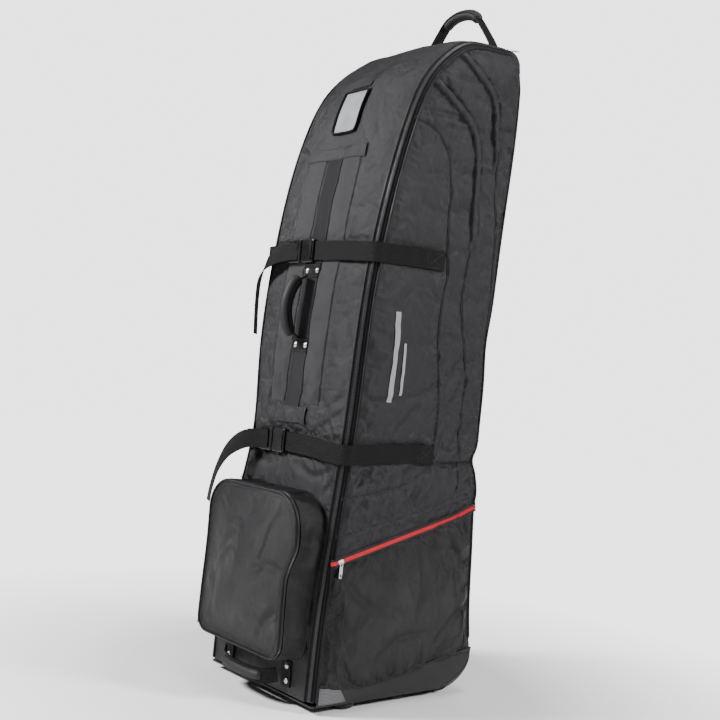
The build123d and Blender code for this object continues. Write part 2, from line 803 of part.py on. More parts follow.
def inside_buckles():
    """A plain two-bar buckle on each inside strap."""
    buckles = []
    for z in INSIDE_STRAP_ZS:
        y = rear_inner_y(z)
        plate = Pos(40, y - 3.2, z) * rounded_plate(34, 50, 4, 4)
        bars = [Pos(40 + dx, y - 3.2, z) * Box(8, 10, 38) for dx in (-8, 8)]
        buckles.append(plate - bars)
    return group(*buckles)


def rear_inner_y(z):
    """Y of the inside straps' front face at a height."""
    edge = moved_curve(rear_edge(), -17.5)
    low, high = 0.0, 1.0
    for _ in range(30):
        mid = (low + high) / 2
        if (edge @ mid).Y > z:
            low = mid
        else:
            high = mid
    return (edge @ low).X


# ---------------------------------------------------------------- write every node

def both(shape):
    """A right-hand piece and its mirror image as one group."""
    return group(shape, mirrored(shape))


def save_body_shell():
    save_pair(side_panel(), "side_panel")
    save(both(scuff_strip()), "scuff_strips")
    save(group(side_foam(), mirrored(side_foam()), front_foam(), back_foam()), "foam_sheets")
    save(front_panel(), "front_panel")
    save(back_panel(), "back_panel")
    save(kick_plate(), "kick_plate")
    save(skid_rails(), "skid_rails")
    save(top_yoke(), "top_yoke")
    save(group(both(side_zip_long()), front_zip_lower()), "long_zip_lower")
    save(centre_webbing_lower(), "centre_webbing_lower")
    save(inside_straps(), "inside_straps")
    save(inside_buckles(), "inside_buckles")


def save_hood():
    save(hood_panel(), "hood_panel")
    save(hood_foam(), "hood_foam")
    save(front_zip_hood(), "long_zip_hood")
    save(group(centre_webbing_hood(), hood_band()), "hood_trim")
    save(group(id_frame(), id_card()), "id_holder")
    save(id_window(), "id_window")
    save_pair(long_zip_slider(), "long_zip_slider")
    save_pair(long_zip_pull(), "long_zip_pull")


def save_side_pockets():
    save(both(side_pocket_panel()), "side_pocket_panels")
    save(both(side_zip()), "side_pocket_zips")
    save_pair(side_zip_slider(), "side_zip_slider")
    save_pair(side_zip_pull(), "side_zip_pull")


def save_base():
    save(base_tray(), "base_tray")
    save(base_board(), "base_board")
    save(both(wheel_arch()), "wheel_arches")
    save(both(axle()), "axles")
    save_pair(wheel_tyre(), "wheel_tyre")
    save_pair(wheel_hub(), "wheel_hub")
    save_pair(wheel_bearings(), "wheel_bearings")
    save(front_feet(), "front_feet")
    save(foot_screws(), "foot_screws")


def save_straps():
    heights = {"upper": (UPPER_STRAP_Z, 37), "lower": (LOWER_STRAP_Z, 64)}
    straps, sockets = [], []
    for name, (z, rear_y) in heights.items():
        straps += [strap_right(z, rear_y), strap_left(z, rear_y)]
        sockets.append(buckle_socket(z))
        save(buckle_plug(z), name + "_buckle_plug")
    save(group(*straps), "compression_straps")
    save(group(*sockets), "buckle_sockets")
    save(upper_tail(), "upper_strap_tail")
    save(lower_tail(), "lower_strap_tail")


def save_shoe_pocket():
    save(pocket_gusset(), "shoe_pocket_gusset")
    save(pocket_cover(), "shoe_pocket_cover")
    save(pocket_zip_ring(-231.9, -228.4), "shoe_zip_gusset_half")
    save(pocket_zip_ring(-236.0, -232.5), "shoe_zip_cover_half")
    for name, z in POCKET_SLIDER_ZS.items():
        save(pocket_slider(z), "shoe_zip_slider_" + name)
        save(pocket_pull(z), "shoe_zip_pull_" + name)


def save_handles():
    save(group(*top_handle()), "top_handle")
    save(group(*front_handle()), "front_handle")
    save(group(*base_handle()), "base_handle")
    anchors = [top_handle_feet(), front_handle_anchors(), base_handle_anchors()]
    save(group(*anchors), "handle_anchors")
    save(group(front_handle_rivets(), base_handle_rivets()), "handle_rivets")


save_body_shell()
save_hood()
save_side_pockets()
save_base()
save_straps()
save_shoe_pocket()
save_handles()
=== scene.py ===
import math

import bpy
import numpy as np
from mathutils import Matrix, Vector


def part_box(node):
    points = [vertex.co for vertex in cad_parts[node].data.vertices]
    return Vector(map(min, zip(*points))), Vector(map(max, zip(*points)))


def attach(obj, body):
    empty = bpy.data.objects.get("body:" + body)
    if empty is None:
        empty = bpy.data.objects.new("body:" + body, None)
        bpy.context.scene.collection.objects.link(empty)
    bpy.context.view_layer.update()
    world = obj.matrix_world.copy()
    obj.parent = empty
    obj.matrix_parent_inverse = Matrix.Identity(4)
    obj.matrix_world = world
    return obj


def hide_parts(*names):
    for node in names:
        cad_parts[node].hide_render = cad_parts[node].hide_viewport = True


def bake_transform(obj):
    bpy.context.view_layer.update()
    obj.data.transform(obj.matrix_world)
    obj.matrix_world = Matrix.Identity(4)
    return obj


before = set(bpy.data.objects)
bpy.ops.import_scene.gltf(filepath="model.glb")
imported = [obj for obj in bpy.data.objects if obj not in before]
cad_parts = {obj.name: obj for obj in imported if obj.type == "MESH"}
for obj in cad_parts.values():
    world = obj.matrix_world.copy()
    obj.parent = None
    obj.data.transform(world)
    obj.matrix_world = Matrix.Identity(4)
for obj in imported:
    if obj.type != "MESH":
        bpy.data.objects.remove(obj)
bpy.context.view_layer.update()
MM = 0.001
CASE, HOOD = "case", "hood"
STITCH = (0.0030, 0.0008, 0.0007, 0.0048)  # length, width, height and pitch
FABRIC_THICK = 0.0045  # outer fabric with its padding


# ---------------------------------------------------------------- small maths

def smoothstep(a, b, x):
    t = np.clip((np.asarray(x, float) - a) / (b - a), 0, 1)
    return t * t * (3 - 2 * t)


def bell(x, centre, width):
    return np.exp(-((np.asarray(x, float) - centre) / width) ** 2)


def unit(v):
    return v / np.maximum(np.linalg.norm(v, axis=-1, keepdims=True), 1e-12)


def lengths(path):
    steps = np.linalg.norm(np.diff(path, axis=0), axis=-1)
    return np.concatenate([[0.0], np.cumsum(steps)])


def resample(path, step):
    """The same path with points at an even spacing."""
    path = np.asarray(path, float)
    s = lengths(path)
    count = max(int(round(s[-1] / step)), 2) + 1
    at = np.linspace(0, s[-1], count)
    return np.stack([np.interp(at, s, path[:, k]) for k in range(path.shape[1])], -1)


def soften(path, count):
    """Average a path along its length, with its ends held."""
    width = int(count * 3)
    kernel = np.exp(-0.5 * (np.arange(-width, width + 1) / count) ** 2)
    kernel /= kernel.sum()
    out = np.empty_like(path)
    for k in range(path.shape[1]):
        head = 2 * path[0, k] - path[width:0:-1, k]
        tail = 2 * path[-1, k] - path[-2:-width - 2:-1, k]
        out[:, k] = np.convolve(np.concatenate([head, path[:, k], tail]), kernel, "valid")
    return out


def curve(points, step=0.006):
    """A smooth path through a few points (Catmull-Rom), evenly spaced."""
    p = np.asarray(points, float)
    p = np.vstack([2 * p[0] - p[1], p, 2 * p[-1] - p[-2]])
    out = []
    for i in range(1, len(p) - 2):
        t = np.linspace(0, 1, 16, endpoint=False)[:, None]
        a, b, c, d = p[i - 1], p[i], p[i + 1], p[i + 2]
        out.append(0.5 * (2 * b + (c - a) * t + (2 * a - 5 * b + 4 * c - d) * t ** 2
                          + (3 * b - a - 3 * c + d) * t ** 3))
    out.append(p[-2][None])
    return resample(np.vstack(out), step)


def waves(p, scale, seed, octaves=3):
    """Smooth repeatable noise in about -1..1 from sums of tilted sines."""
    rng = np.random.default_rng(seed)
    total, weight = 0, 0
    for octave in range(octaves):
        for _ in range(5):
            direction = unit(rng.normal(size=p.shape[-1]))
            k = 2 * math.pi / scale * 1.9 ** octave * rng.uniform(0.7, 1.3)
            total = total + 0.55 ** octave * np.sin(p @ direction * k + rng.uniform(0, 6.3))
            weight += 0.55 ** (2 * octave) * 0.5
    return total / math.sqrt(weight) * 0.6


def to_line(yz, line):
    """Distance of each point to a path, its side (+ left), and its place along it."""
    best = np.full(yz.shape[:-1], 1e9)
    side = np.zeros_like(best)
    along = np.zeros_like(best)
    s = lengths(line)
    for i in range(len(line) - 1):
        a, d = line[i], line[i + 1] - line[i]
        t = np.clip(((yz - a) @ d) / (d @ d), 0, 1)
        off = yz - (a + t[..., None] * d)
        dist = np.linalg.norm(off, axis=-1)
        near = dist < best
        best = np.where(near, dist, best)
        side = np.where(near, np.sign(d[0] * off[..., 1] - d[1] * off[..., 0]), side)
        along = np.where(near, s[i] + t * (s[i + 1] - s[i]), along)
    return best, side * best, along, s[-1]


# ---------------------------------------------------------------- outline of the case

def node_points(name):
    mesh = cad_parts[name].data
    co = np.empty(len(mesh.vertices) * 3)
    mesh.vertices.foreach_get("co", co)
    return co.reshape(-1, 3)


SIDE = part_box("side_panel_right")[1].x
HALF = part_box("front_panel")[1].x
HOOD_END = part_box("hood_panel")[1].y
FOLD = (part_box("front_panel")[1].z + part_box("hood_panel")[0].z) / 2
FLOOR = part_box("base_tray")[0].z


class Spine:
    """The case's outline seen from the side, as a smooth line with outward normals."""

    def __init__(self):
        p = node_points("side_panel_right")
        p = p[p[:, 0] > SIDE - 1e-4][:, 1:]
        q = node_points("scuff_strips")[:, 1:]
        front = p[(p[:, 0] <= 0.1901) & (p[:, 1] > 0.1)]
        front = front[np.argsort(front[:, 1])]
        rear = p[(p[:, 0] > 0.1901) & (p[:, 1] > 0.1)]
        rear = rear[np.argsort(-rear[:, 1])]
        low = q[(q[:, 0] > 0.1505) & (q[:, 1] < 0.072)]
        low = low[np.argsort(-low[:, 1])]
        y0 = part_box("scuff_strips")[0].y
        start = np.array([[y0, FLOOR], [y0, 0.06]])
        path = np.vstack([start, front, rear, low])
        keep = np.concatenate([[True], np.linalg.norm(np.diff(path, axis=0), axis=1) > 1e-5])
        self.p = soften(resample(path[keep], 0.004), 3)
        top_rise = 0.0045 * smoothstep(1.25, 1.32, self.p[:, 1]) * smoothstep(0.212, 0.19, self.p[:, 0])
        self.p[:, 1] += top_rise
        y, z = self.p[:, 0], self.p[:, 1]
        cinch = -0.007 * bell(z, 0.72, 0.06) - 0.012 * bell(z, 0.481, 0.020)
        self.p[:, 0] += (cinch + 0.006 * bell(z, 0.416, 0.026)) * smoothstep(0.15, 0.18, y)
        self.s = lengths(self.p)
        tangent = unit(np.gradient(self.p, axis=0))
        self.n = np.stack([-tangent[:, 1], tangent[:, 0]], -1)
        top = int(np.argmin(np.abs(self.p[:, 0] - 0.19) + 9 * (self.p[:, 1] < 1.3)))
        self.top = self.s[top]
        self.end = self.s[-1]
        self.split = top

    def at(self, s):
        return [np.interp(s, self.s, a) for a in
                (self.p[:, 0], self.p[:, 1], self.n[:, 0], self.n[:, 1])]

    def front(self, z):
        """Place on the line of a height on the front."""
        return float(np.interp(z, self.p[:self.split, 1], self.s[:self.split]))

    def rear(self, z):
        """Place on the line of a height on the back."""
        return float(np.interp(-z, -self.p[self.split + 2:, 1], self.s[self.split + 2:]))


SPINE = Spine()
S_HOOD_END = float(np.interp(HOOD_END, SPINE.p[:SPINE.split, 0], SPINE.s[:SPINE.split]))
S_BACK_TOP = SPINE.rear(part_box("back_panel")[1].z)
S_BACK_LOW = SPINE.rear(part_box("back_panel")[0].z)

# How far the padded strip stands proud of the outline at its middle.
CROWN_S = [0, SPINE.front(0.40), SPINE.front(0.488), SPINE.front(0.60), SPINE.front(0.75),
           SPINE.front(0.87), SPINE.front(0.94), SPINE.front(1.05), SPINE.front(1.20),
           SPINE.front(1.315), SPINE.top, SPINE.rear(1.2), SPINE.rear(0.7), SPINE.end]
CROWN_MM = [1, 3, 3, 5.5, 5.5, 4, 7, 12, 15, 17, 13, 7, 6, 2]


def drape(p):
    """The soft body leans in on its left front where the lower strap cinches it."""
    x, y, z = p[..., 0], p[..., 1], p[..., 2]
    left = smoothstep(-0.02, -0.15, x) * (1 - 0.75 * smoothstep(-0.15, 0.2, y))
    shift = 0.020 * bell(z, 0.50, 0.13) - 0.009 * bell(z, 1.08, 0.16)
    out = p.copy()
    out[..., 0] = x + left * shift
    return out


def on_spine(x, s, lift=0.0):
    """A point over the front, hood, top or back, at a width and a place on the line."""
    x, s = np.broadcast_arrays(np.asarray(x, float), np.asarray(s, float))
    y, z, ny, nz = SPINE.at(s)
    crown = np.interp(s, CROWN_S, CROWN_MM) * MM
    out = lift + crown * (1 - np.clip(np.abs(x) / 0.1535, 0, 1) ** 2.6)
    return np.stack([x, y + ny * out, z + nz * out], -1)


# ---------------------------------------------------------------- mesh making

def normals(P):
    return unit(np.cross(np.gradient(P, axis=1), np.gradient(P, axis=0)))


def grid_uv(P):
    """Flat pattern coordinates in metres."""
    across = np.linalg.norm(np.diff(P, axis=1), axis=-1).mean(0)
    along = np.linalg.norm(np.diff(P, axis=0), axis=-1).mean(1)
    u = np.concatenate([[0], np.cumsum(across)])
    v = np.concatenate([[0], np.cumsum(along)])
    return np.stack(np.meshgrid(u, v), -1)


def sheet(P, thick, flip=False, uv=None):
    """A closed sheet: the outer face on the grid, the inner face behind it."""
    n, m = P.shape[:2]
    sign = -1 if flip else 1
    inner = P - sign * normals(P) * thick
    uv = grid_uv(P) if uv is None else uv
    idx = np.arange(n * m).reshape(n, m)
    quads = np.stack([idx[:-1, :-1], idx[:-1, 1:], idx[1:, 1:], idx[1:, :-1]], -1).reshape(-1, 4)
    loop = np.concatenate([idx[0, :-1], idx[:-1, -1], idx[-1, :0:-1], idx[:0:-1, 0]])
    nxt = np.roll(loop, -1)
    rim = np.stack([nxt, loop, loop + n * m, nxt + n * m], -1)
    faces = np.vstack([quads, quads[:, ::-1] + n * m, rim])
    faces = faces[:, ::-1] if flip else faces
    flat = uv.reshape(-1, 2)
    return np.vstack([P.reshape(-1, 3), inner.reshape(-1, 3)]), faces, np.vstack([flat, flat])


def ribbon(path, across, width, thick, flip=False, bow=0.0, columns=7):
    """A flat strap along a path; across is the direction of its width at each point."""
    t = np.linspace(-0.5, 0.5, columns)
    width = np.broadcast_to(np.asarray(width, float), (len(path),))
    P = path[:, None] + across[:, None] * (width[:, None] * t)[..., None]
    side = unit(np.cross(across, np.gradient(path, axis=0)))
    side = -side if flip else side
    P = P + side[:, None] * (bow * (1 - (2 * t) ** 2))[None, :, None]
    uv = np.stack(np.meshgrid(t * float(width.max()), lengths(path)), -1)
    return sheet(P, thick, flip, uv)


def rings(path, up=(0, 0, 1)):
    """Two directions square to a path, carried along it without twist."""
    tangent = unit(np.gradient(path, axis=0))
    a = np.asarray(up, float)
    a = unit(a - (a @ tangent[0]) * tangent[0])
    first = []
    for t in tangent:
        a = unit(a - (a @ t) * t)
        first.append(a)
    first = np.array(first)
    return tangent, first, np.cross(tangent, first)


def tube(path, radius, sides=10, up=(0, 0, 1), flat=1.0):
    """A round bar along a path; radius may change along it."""
    path = np.asarray(path, float)
    _, a, b = rings(path, up)
    radius = np.broadcast_to(np.asarray(radius, float), (len(path),))
    turn = np.linspace(0, 2 * math.pi, sides, endpoint=False)
    ring = (a[:, None] * np.cos(turn)[None, :, None]
            + b[:, None] * (flat * np.sin(turn))[None, :, None])
    P = path[:, None] + ring * radius[:, None, None]
    n = len(path)
    idx = np.arange(n * sides).reshape(n, sides)
    right = np.roll(idx, -1, axis=1)
    faces = np.stack([idx[:-1], right[:-1], right[1:], idx[1:]], -1).reshape(-1, 4)
    faces = [list(f) for f in faces] + [list(idx[0, ::-1]), list(idx[-1])]
    uv = np.stack(np.meshgrid(turn * float(radius.max()), lengths(path)), -1)
    return P.reshape(-1, 3), faces, uv.reshape(-1, 2)


def blocks(path, up, length, width, height, pitch, sink=0.3):
    """Small rounded bars at an even pitch: zip teeth or stitches."""
    total = lengths(path)[-1]
    count = max(int(total / pitch), 1)
    at = (np.arange(count) + 0.5) * total / count
    s = lengths(path)
    c = np.stack([np.interp(at, s, path[:, k]) for k in range(3)], -1)
    n = unit(np.stack([np.interp(at, s, up[:, k]) for k in range(3)], -1))
    grad = np.gradient(path, axis=0)
    t = unit(np.stack([np.interp(at, s, grad[:, k]) for k in range(3)], -1))
    a = unit(np.cross(n, t))
    corners = []
    for h, k in ((-sink, 1.0), (0.75, 1.0), (1.0, 0.6)):
        for u, v in ((-1, -1), (1, -1), (1, 1), (-1, 1)):
            corners.append(c + t * u * length / 2 * k + a * v * width / 2 * k + n * h * height)
    co = np.stack(corners, 1)
    base = [[0, 1, 5, 4], [1, 2, 6, 5], [2, 3, 7, 6], [3, 0, 4, 7], [4, 5, 9, 8],
            [5, 6, 10, 9], [6, 7, 11, 10], [7, 4, 8, 11], [8, 9, 10, 11], [3, 2, 1, 0]]
    faces = (np.arange(count)[:, None, None] * 12 + np.array(base)[None]).reshape(-1, 4)
    uv = np.repeat(np.stack([at * 0, at], -1)[:, None], 12, 1)
    return co.reshape(-1, 3), faces, uv.reshape(-1, 2)


def mirror(part):
    co, faces, uv = part
    return co * [-1, 1, 1], [list(f)[::-1] for f in faces], uv


def moved(part, change):
    co, faces, uv = part
    return change(co), faces, uv


def build(name, parts, body=CASE, stands_for=(), sharp=38):
    """One object from (material, (points, faces, uv)) parts, put on its body."""
    co = np.vstack([p[1][0] for p in parts])
    uv = np.vstack([p[1][2] for p in parts])
    faces, which, materials, start = [], [], [], 0
    for material, (points, part_faces, _) in parts:
        if material not in materials:
            materials.append(material)
        faces += [[int(i) + start for i in f] for f in part_faces]
        which += [materials.index(material)] * len(part_faces)
        start += len(points)
    mesh = bpy.data.meshes.new(name)
    mesh.from_pydata(co.tolist(), [], faces)
    for material in materials:
        mesh.materials.append(material)
    mesh.polygons.foreach_set("material_index", which)
    mesh.polygons.foreach_set("use_smooth", [True] * len(faces))
    loops = np.empty(len(mesh.loops), np.int32)
    mesh.loops.foreach_get("vertex_index", loops)
    mesh.uv_layers.new(name="UVMap").data.foreach_set("uv", uv[loops].ravel())
    mesh.set_sharp_from_angle(angle=math.radians(sharp))
    mesh.update()
    obj = bpy.data.objects.new(name, mesh)
    bpy.context.scene.collection.objects.link(obj)
    if body == (CASE, HOOD):
        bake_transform(obj)
    else:
        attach(obj, body)
    if stands_for:
        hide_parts(*stands_for)
    return obj


# ---------------------------------------------------------------- cloth

def simulate(P, pin, pressure=3.0, slack=0.03, frames=18, cap=0.010, bend=0.6, taut=None,
             least=0.006):
    """Hang the sheet between its pinned lines as real cloth and return the new grid."""
    n, m = P.shape[:2]
    idx = np.arange(n * m).reshape(n, m)
    quads = np.stack([idx[:-1, :-1], idx[:-1, 1:], idx[1:, 1:], idx[1:, :-1]], -1).reshape(-1, 4)
    mesh = bpy.data.meshes.new("cloth_work")
    mesh.from_pydata(P.reshape(-1, 3).tolist(), [], quads.tolist())
    obj = bpy.data.objects.new("cloth_work", mesh)
    bpy.context.scene.collection.objects.link(obj)
    group = obj.vertex_groups.new(name="pin")
    flat = np.clip(pin, 0, 1).ravel()
    for level in np.unique(np.round(flat, 1)):
        members = np.nonzero(np.round(flat, 1) == level)[0]
        group.add(members.tolist(), float(level), "REPLACE")
    if taut is not None:
        taut_group = obj.vertex_groups.new(name="taut")
        levels = np.round(np.clip(taut, 0, 1).ravel(), 1)
        for level in np.unique(levels):
            taut_group.add(np.nonzero(levels == level)[0].tolist(), float(level), "REPLACE")
    cloth = obj.modifiers.new("cloth", "CLOTH")
    cloth.settings.quality = 5
    cloth.settings.mass = 0.3
    cloth.settings.air_damping = 1.0
    cloth.settings.tension_stiffness = 15
    cloth.settings.compression_stiffness = 15
    cloth.settings.shear_stiffness = 8
    cloth.settings.bending_stiffness = bend
    cloth.settings.vertex_group_mass = "pin"
    cloth.settings.shrink_min = -slack
    if taut is not None:
        cloth.settings.vertex_group_shrink = "taut"
        cloth.settings.shrink_max = -least
    cloth.settings.use_pressure = True
    cloth.settings.uniform_pressure_force = pressure
    cloth.settings.effector_weights.gravity = 0.0
    cloth.collision_settings.use_collision = False
    cloth.point_cache.frame_start = 1
    cloth.point_cache.frame_end = frames
    for step in range(1, frames + 1):
        bpy.context.scene.frame_set(step)
    graph = bpy.context.evaluated_depsgraph_get()
    done = obj.evaluated_get(graph).data
    co = np.empty(n * m * 3, np.float32)
    done.vertices.foreach_get("co", co)
    bpy.data.objects.remove(obj)
    bpy.data.meshes.remove(mesh)
    bpy.context.scene.frame_set(1)
    move = np.round(co.reshape(n, m, 3).astype(float), 5) - P
    size = np.linalg.norm(move, axis=-1, keepdims=True)
    return P + move * (cap * np.tanh(size / cap) / np.maximum(size, 1e-9))


def refine(P):
    """Double a grid's resolution with cubic interpolation."""
    for _ in range(2):
        pad = np.concatenate([2 * P[:1] - P[1:2], P, 2 * P[-1:] - P[-2:-1]])
        mid = (-pad[:-3] + 9 * pad[1:-2] + 9 * pad[2:-1] - pad[3:]) / 16
        out = np.empty((2 * P.shape[0] - 1,) + P.shape[1:])
        out[::2], out[1::2] = P, mid
        P = np.swapaxes(out, 0, 1)
    return P


# ---------------------------------------------------------------- materials

class Shader:
    """A small builder for node materials."""

    def __init__(self, name):
        self.material = bpy.data.materials.new(name)
        self.material.use_nodes = True
        self.tree = self.material.node_tree
        self.bsdf = self.tree.nodes["Principled BSDF"]
        self.where = self.node("ShaderNodeTexCoord")

    def node(self, kind, **settings):
        made = self.tree.nodes.new(kind)
        for key, value in settings.items():
            setattr(made, key, value)
        return made

    def put(self, socket, value):
        if isinstance(value, bpy.types.NodeSocket):
            self.tree.links.new(value, socket)
        else:
            socket.default_value = value

    def math(self, operation, a, b=0.0, c=0.0):
        made = self.node("ShaderNodeMath", operation=operation)
        for socket, value in zip(made.inputs, (a, b, c)):
            self.put(socket, value)
        return made.outputs[0]

    def noise(self, scale, detail=3.0, rough=0.55, space="Object", stretch=(1, 1, 1)):
        place = self.node("ShaderNodeMapping")
        self.put(place.inputs["Vector"], self.where.outputs[space])
        place.inputs["Scale"].default_value = stretch
        made = self.node("ShaderNodeTexNoise")
        self.put(made.inputs["Vector"], place.outputs[0])
        made.inputs["Scale"].default_value = scale
        made.inputs["Detail"].default_value = detail
        made.inputs["Roughness"].default_value = rough
        return made.outputs[0]

    def axes(self, space="UV"):
        split = self.node("ShaderNodeSeparateXYZ")
        self.put(split.inputs[0], self.where.outputs[space])
        return split.outputs

    def sine(self, value, period):
        return self.math("SINE", self.math("MULTIPLY", value, 2 * math.pi / period))

    def mix(self, factor, a, b):
        made = self.node("ShaderNodeMix", data_type="RGBA")
        self.put(made.inputs["Factor"], factor)
        colour_sockets = [s for s in made.inputs if s.type == "RGBA"]
        self.put(colour_sockets[0], a)
        self.put(colour_sockets[1], b)
        return [s for s in made.outputs if s.type == "RGBA"][0]

    def remap(self, value, a, b, c, d):
        made = self.node("ShaderNodeMapRange")
        for socket, v in zip(made.inputs, (value, a, b, c, d)):
            self.put(socket, v)
        return made.outputs[0]

    def bump(self, height, distance, strength=1.0, after=None):
        made = self.node("ShaderNodeBump")
        made.inputs["Distance"].default_value = distance
        made.inputs["Strength"].default_value = strength
        self.put(made.inputs["Height"], height)
        if after is not None:
            self.put(made.inputs["Normal"], after)
        return made.outputs[0]

    def finish(self, colour, rough, bump=None, metal=0.0, sheen=0.0, tint=None, **more):
        self.put(self.bsdf.inputs["Base Color"], colour)
        self.put(self.bsdf.inputs["Roughness"], rough)
        self.bsdf.inputs["Metallic"].default_value = metal
        self.bsdf.inputs["Sheen Weight"].default_value = sheen
        self.bsdf.inputs["Sheen Roughness"].default_value = 0.45
        if tint:
            self.bsdf.inputs["Sheen Tint"].default_value = tint
        if bump is not None:
            self.put(self.bsdf.inputs["Normal"], bump)
        for key, value in more.items():
            self.bsdf.inputs[key.replace("_", " ")].default_value = value
        return self.material


def rgb(r, g, b):
    return (r, g, b, 1.0)


def shade(colour, k):
    return (colour[0] * k, colour[1] * k, colour[2] * k, 1.0)


def woven(name, colour, period=0.0011, rough=0.62, sheen=0.18, depth=0.00025, spec=0.4):
    """A plain over-and-under weave with slubs, fuzz and slow colour change."""
    s = Shader(name)
    u, v, _ = s.axes()
    weft = s.math("ABSOLUTE", s.sine(v, 2 * period))
    warp = s.math("ABSOLUTE", s.sine(u, 2 * period))
    check = s.math("MULTIPLY", s.sine(u, 2 * period), s.sine(v, 2 * period))
    over = s.remap(check, -0.3, 0.3, 0.0, 1.0)
    cloth = s.math("MULTIPLY_ADD", warp, over, s.math("MULTIPLY", weft, s.math("SUBTRACT", 1.0, over)))
    slub = s.noise(900, 2, space="Object", stretch=(1, 1, 0.2))
    cloud = s.noise(9, 4)
    tone = s.math("MULTIPLY_ADD", cloth, 0.45, s.math("MULTIPLY", slub, 0.5))
    base = s.mix(tone, shade(colour, 0.55), shade(colour, 1.45))
    base = s.mix(s.remap(cloud, 0.35, 0.7, 0.0, 0.35), base, shade(colour, 1.5))
    edge = s.node("ShaderNodeNewGeometry").outputs["Pointiness"]
    worn = s.remap(edge, 0.52, 0.60, 0.0, 0.30)
    base = s.mix(worn, base, shade(colour, 2.2))
    bump = s.bump(cloth, depth)
    bump = s.bump(s.noise(60, 3), 0.0008, 0.6, bump)
    crease = s.math("ABSOLUTE", s.math("SUBTRACT", s.noise(13, 3, 0.5, stretch=(1, 1, 0.7)), 0.5))
    bump = s.bump(s.remap(crease, 0.0, 0.16, 0.0, 1.0), 0.0035, 0.55, bump)
    roughness = s.remap(cloud, 0.3, 0.7, rough - 0.07, rough + 0.07)
    return s.finish(base, roughness, bump, sheen=sheen, tint=rgb(0.78, 0.76, 0.84),
                    Specular_IOR_Level=spec)


def dotted(name, colour, pitch=0.0045):
    """Light panel fabric with rows of small pressed dots."""
    s = Shader(name)
    u, v, _ = s.axes()
    dots = s.math("MULTIPLY", s.sine(u, pitch), s.sine(v, pitch))
    dots = s.remap(dots, 0.25, 0.7, 0.0, 1.0)
    thread = s.math("ABSOLUTE", s.sine(s.math("ADD", u, v), 0.0016))
    cloud = s.noise(11, 4)
    height = s.axes("Object")[2]
    low = s.remap(height, 0.58, 0.84, 0.92, 0.0)
    base = s.mix(thread, shade(colour, 0.75), shade(colour, 1.2))
    base = s.mix(dots, base, shade(colour, 0.45))
    base = s.mix(low, base, shade(colour, 0.42))
    base = s.mix(s.remap(cloud, 0.35, 0.7, 0.0, 0.3), base, shade(colour, 1.35))
    bump = s.bump(s.math("SUBTRACT", thread, s.math("MULTIPLY", dots, 2.5)), 0.0003)
    return s.finish(base, 0.6, bump, sheen=0.02, tint=rgb(0.8, 0.78, 0.86),
                    Specular_IOR_Level=0.25)


def strapping(name, colour, rough=0.5):
    """Ribbed webbing: cords along its length crossed by fine picks."""
    s = Shader(name)
    u, v, _ = s.axes()
    cord = s.math("ABSOLUTE", s.sine(u, 0.0062))
    shift = s.math("MULTIPLY", s.sine(u, 0.0062), 0.0006)
    pick = s.math("ABSOLUTE", s.sine(s.math("ADD", v, shift), 0.0031))
    height = s.math("MULTIPLY_ADD", pick, 0.6, s.math("MULTIPLY", cord, 0.8))
    tone = s.math("MULTIPLY_ADD", pick, 0.6, s.math("MULTIPLY", s.noise(500, 2), 0.4))
    base = s.mix(tone, shade(colour, 0.5), shade(colour, 1.6))
    base = s.mix(s.remap(s.noise(14, 3), 0.4, 0.7, 0.0, 0.35), base, shade(colour, 1.8))
    return s.finish(base, rough, s.bump(height, 0.0005), sheen=0.0,
                    tint=rgb(0.8, 0.8, 0.85), Specular_IOR_Level=0.13)


def moulded(name, colour, rough=0.45, grain=0.00025, scale=700, spec=0.5):
    """Moulded plastic or rubber with a pebbled grain and scuffed edges."""
    s = Shader(name)
    cells = s.node("ShaderNodeTexVoronoi")
    s.put(cells.inputs["Vector"], s.where.outputs["Object"])
    cells.inputs["Scale"].default_value = scale
    cloud = s.noise(22, 5)
    edge = s.node("ShaderNodeNewGeometry").outputs["Pointiness"]
    worn = s.remap(edge, 0.53, 0.64, 0.0, 0.5)
    dust = s.remap(cloud, 0.45, 0.75, 0.0, 0.35)
    base = s.mix(dust, shade(colour, 0.9), shade(colour, 1.8))
    base = s.mix(worn, base, shade(colour, 3.0))
    scratch = s.noise(140, 4, 0.7, stretch=(1, 1, 0.08))
    bump = s.bump(cells.outputs["Distance"], grain)
    bump = s.bump(scratch, 0.00008, 0.6, bump)
    roughness = s.remap(cloud, 0.3, 0.75, rough - 0.08, rough + 0.16)
    return s.finish(base, roughness, bump, Specular_IOR_Level=spec)


def metal(name, colour, rough=0.28):
    s = Shader(name)
    brushed = s.noise(300, 3, 0.6, stretch=(1, 1, 0.06))
    cloud = s.noise(60, 4)
    base = s.mix(s.remap(cloud, 0.4, 0.75, 0.0, 0.5), colour, shade(colour, 0.45))
    roughness = s.remap(brushed, 0.3, 0.7, rough - 0.08, rough + 0.16)
    return s.finish(base, roughness, s.bump(brushed, 0.00005), metal=1.0)


def hatched(name):
    """Silver patch with a fine slanting hatch, as on woven carbon film."""
    s = Shader(name)
    u, v, _ = s.axes()
    a = s.sine(s.math("ADD", u, v), 0.0042)
    b = s.sine(s.math("SUBTRACT", u, v), 0.0042)
    check = s.remap(s.math("MULTIPLY", a, b), -0.15, 0.15, 0.0, 1.0)
    base = s.mix(check, rgb(0.016, 0.016, 0.018), rgb(0.15, 0.15, 0.158))
    return s.finish(base, s.remap(check, 0, 1, 0.5, 0.28), s.bump(check, 0.0002),
                    Specular_IOR_Level=0.6)


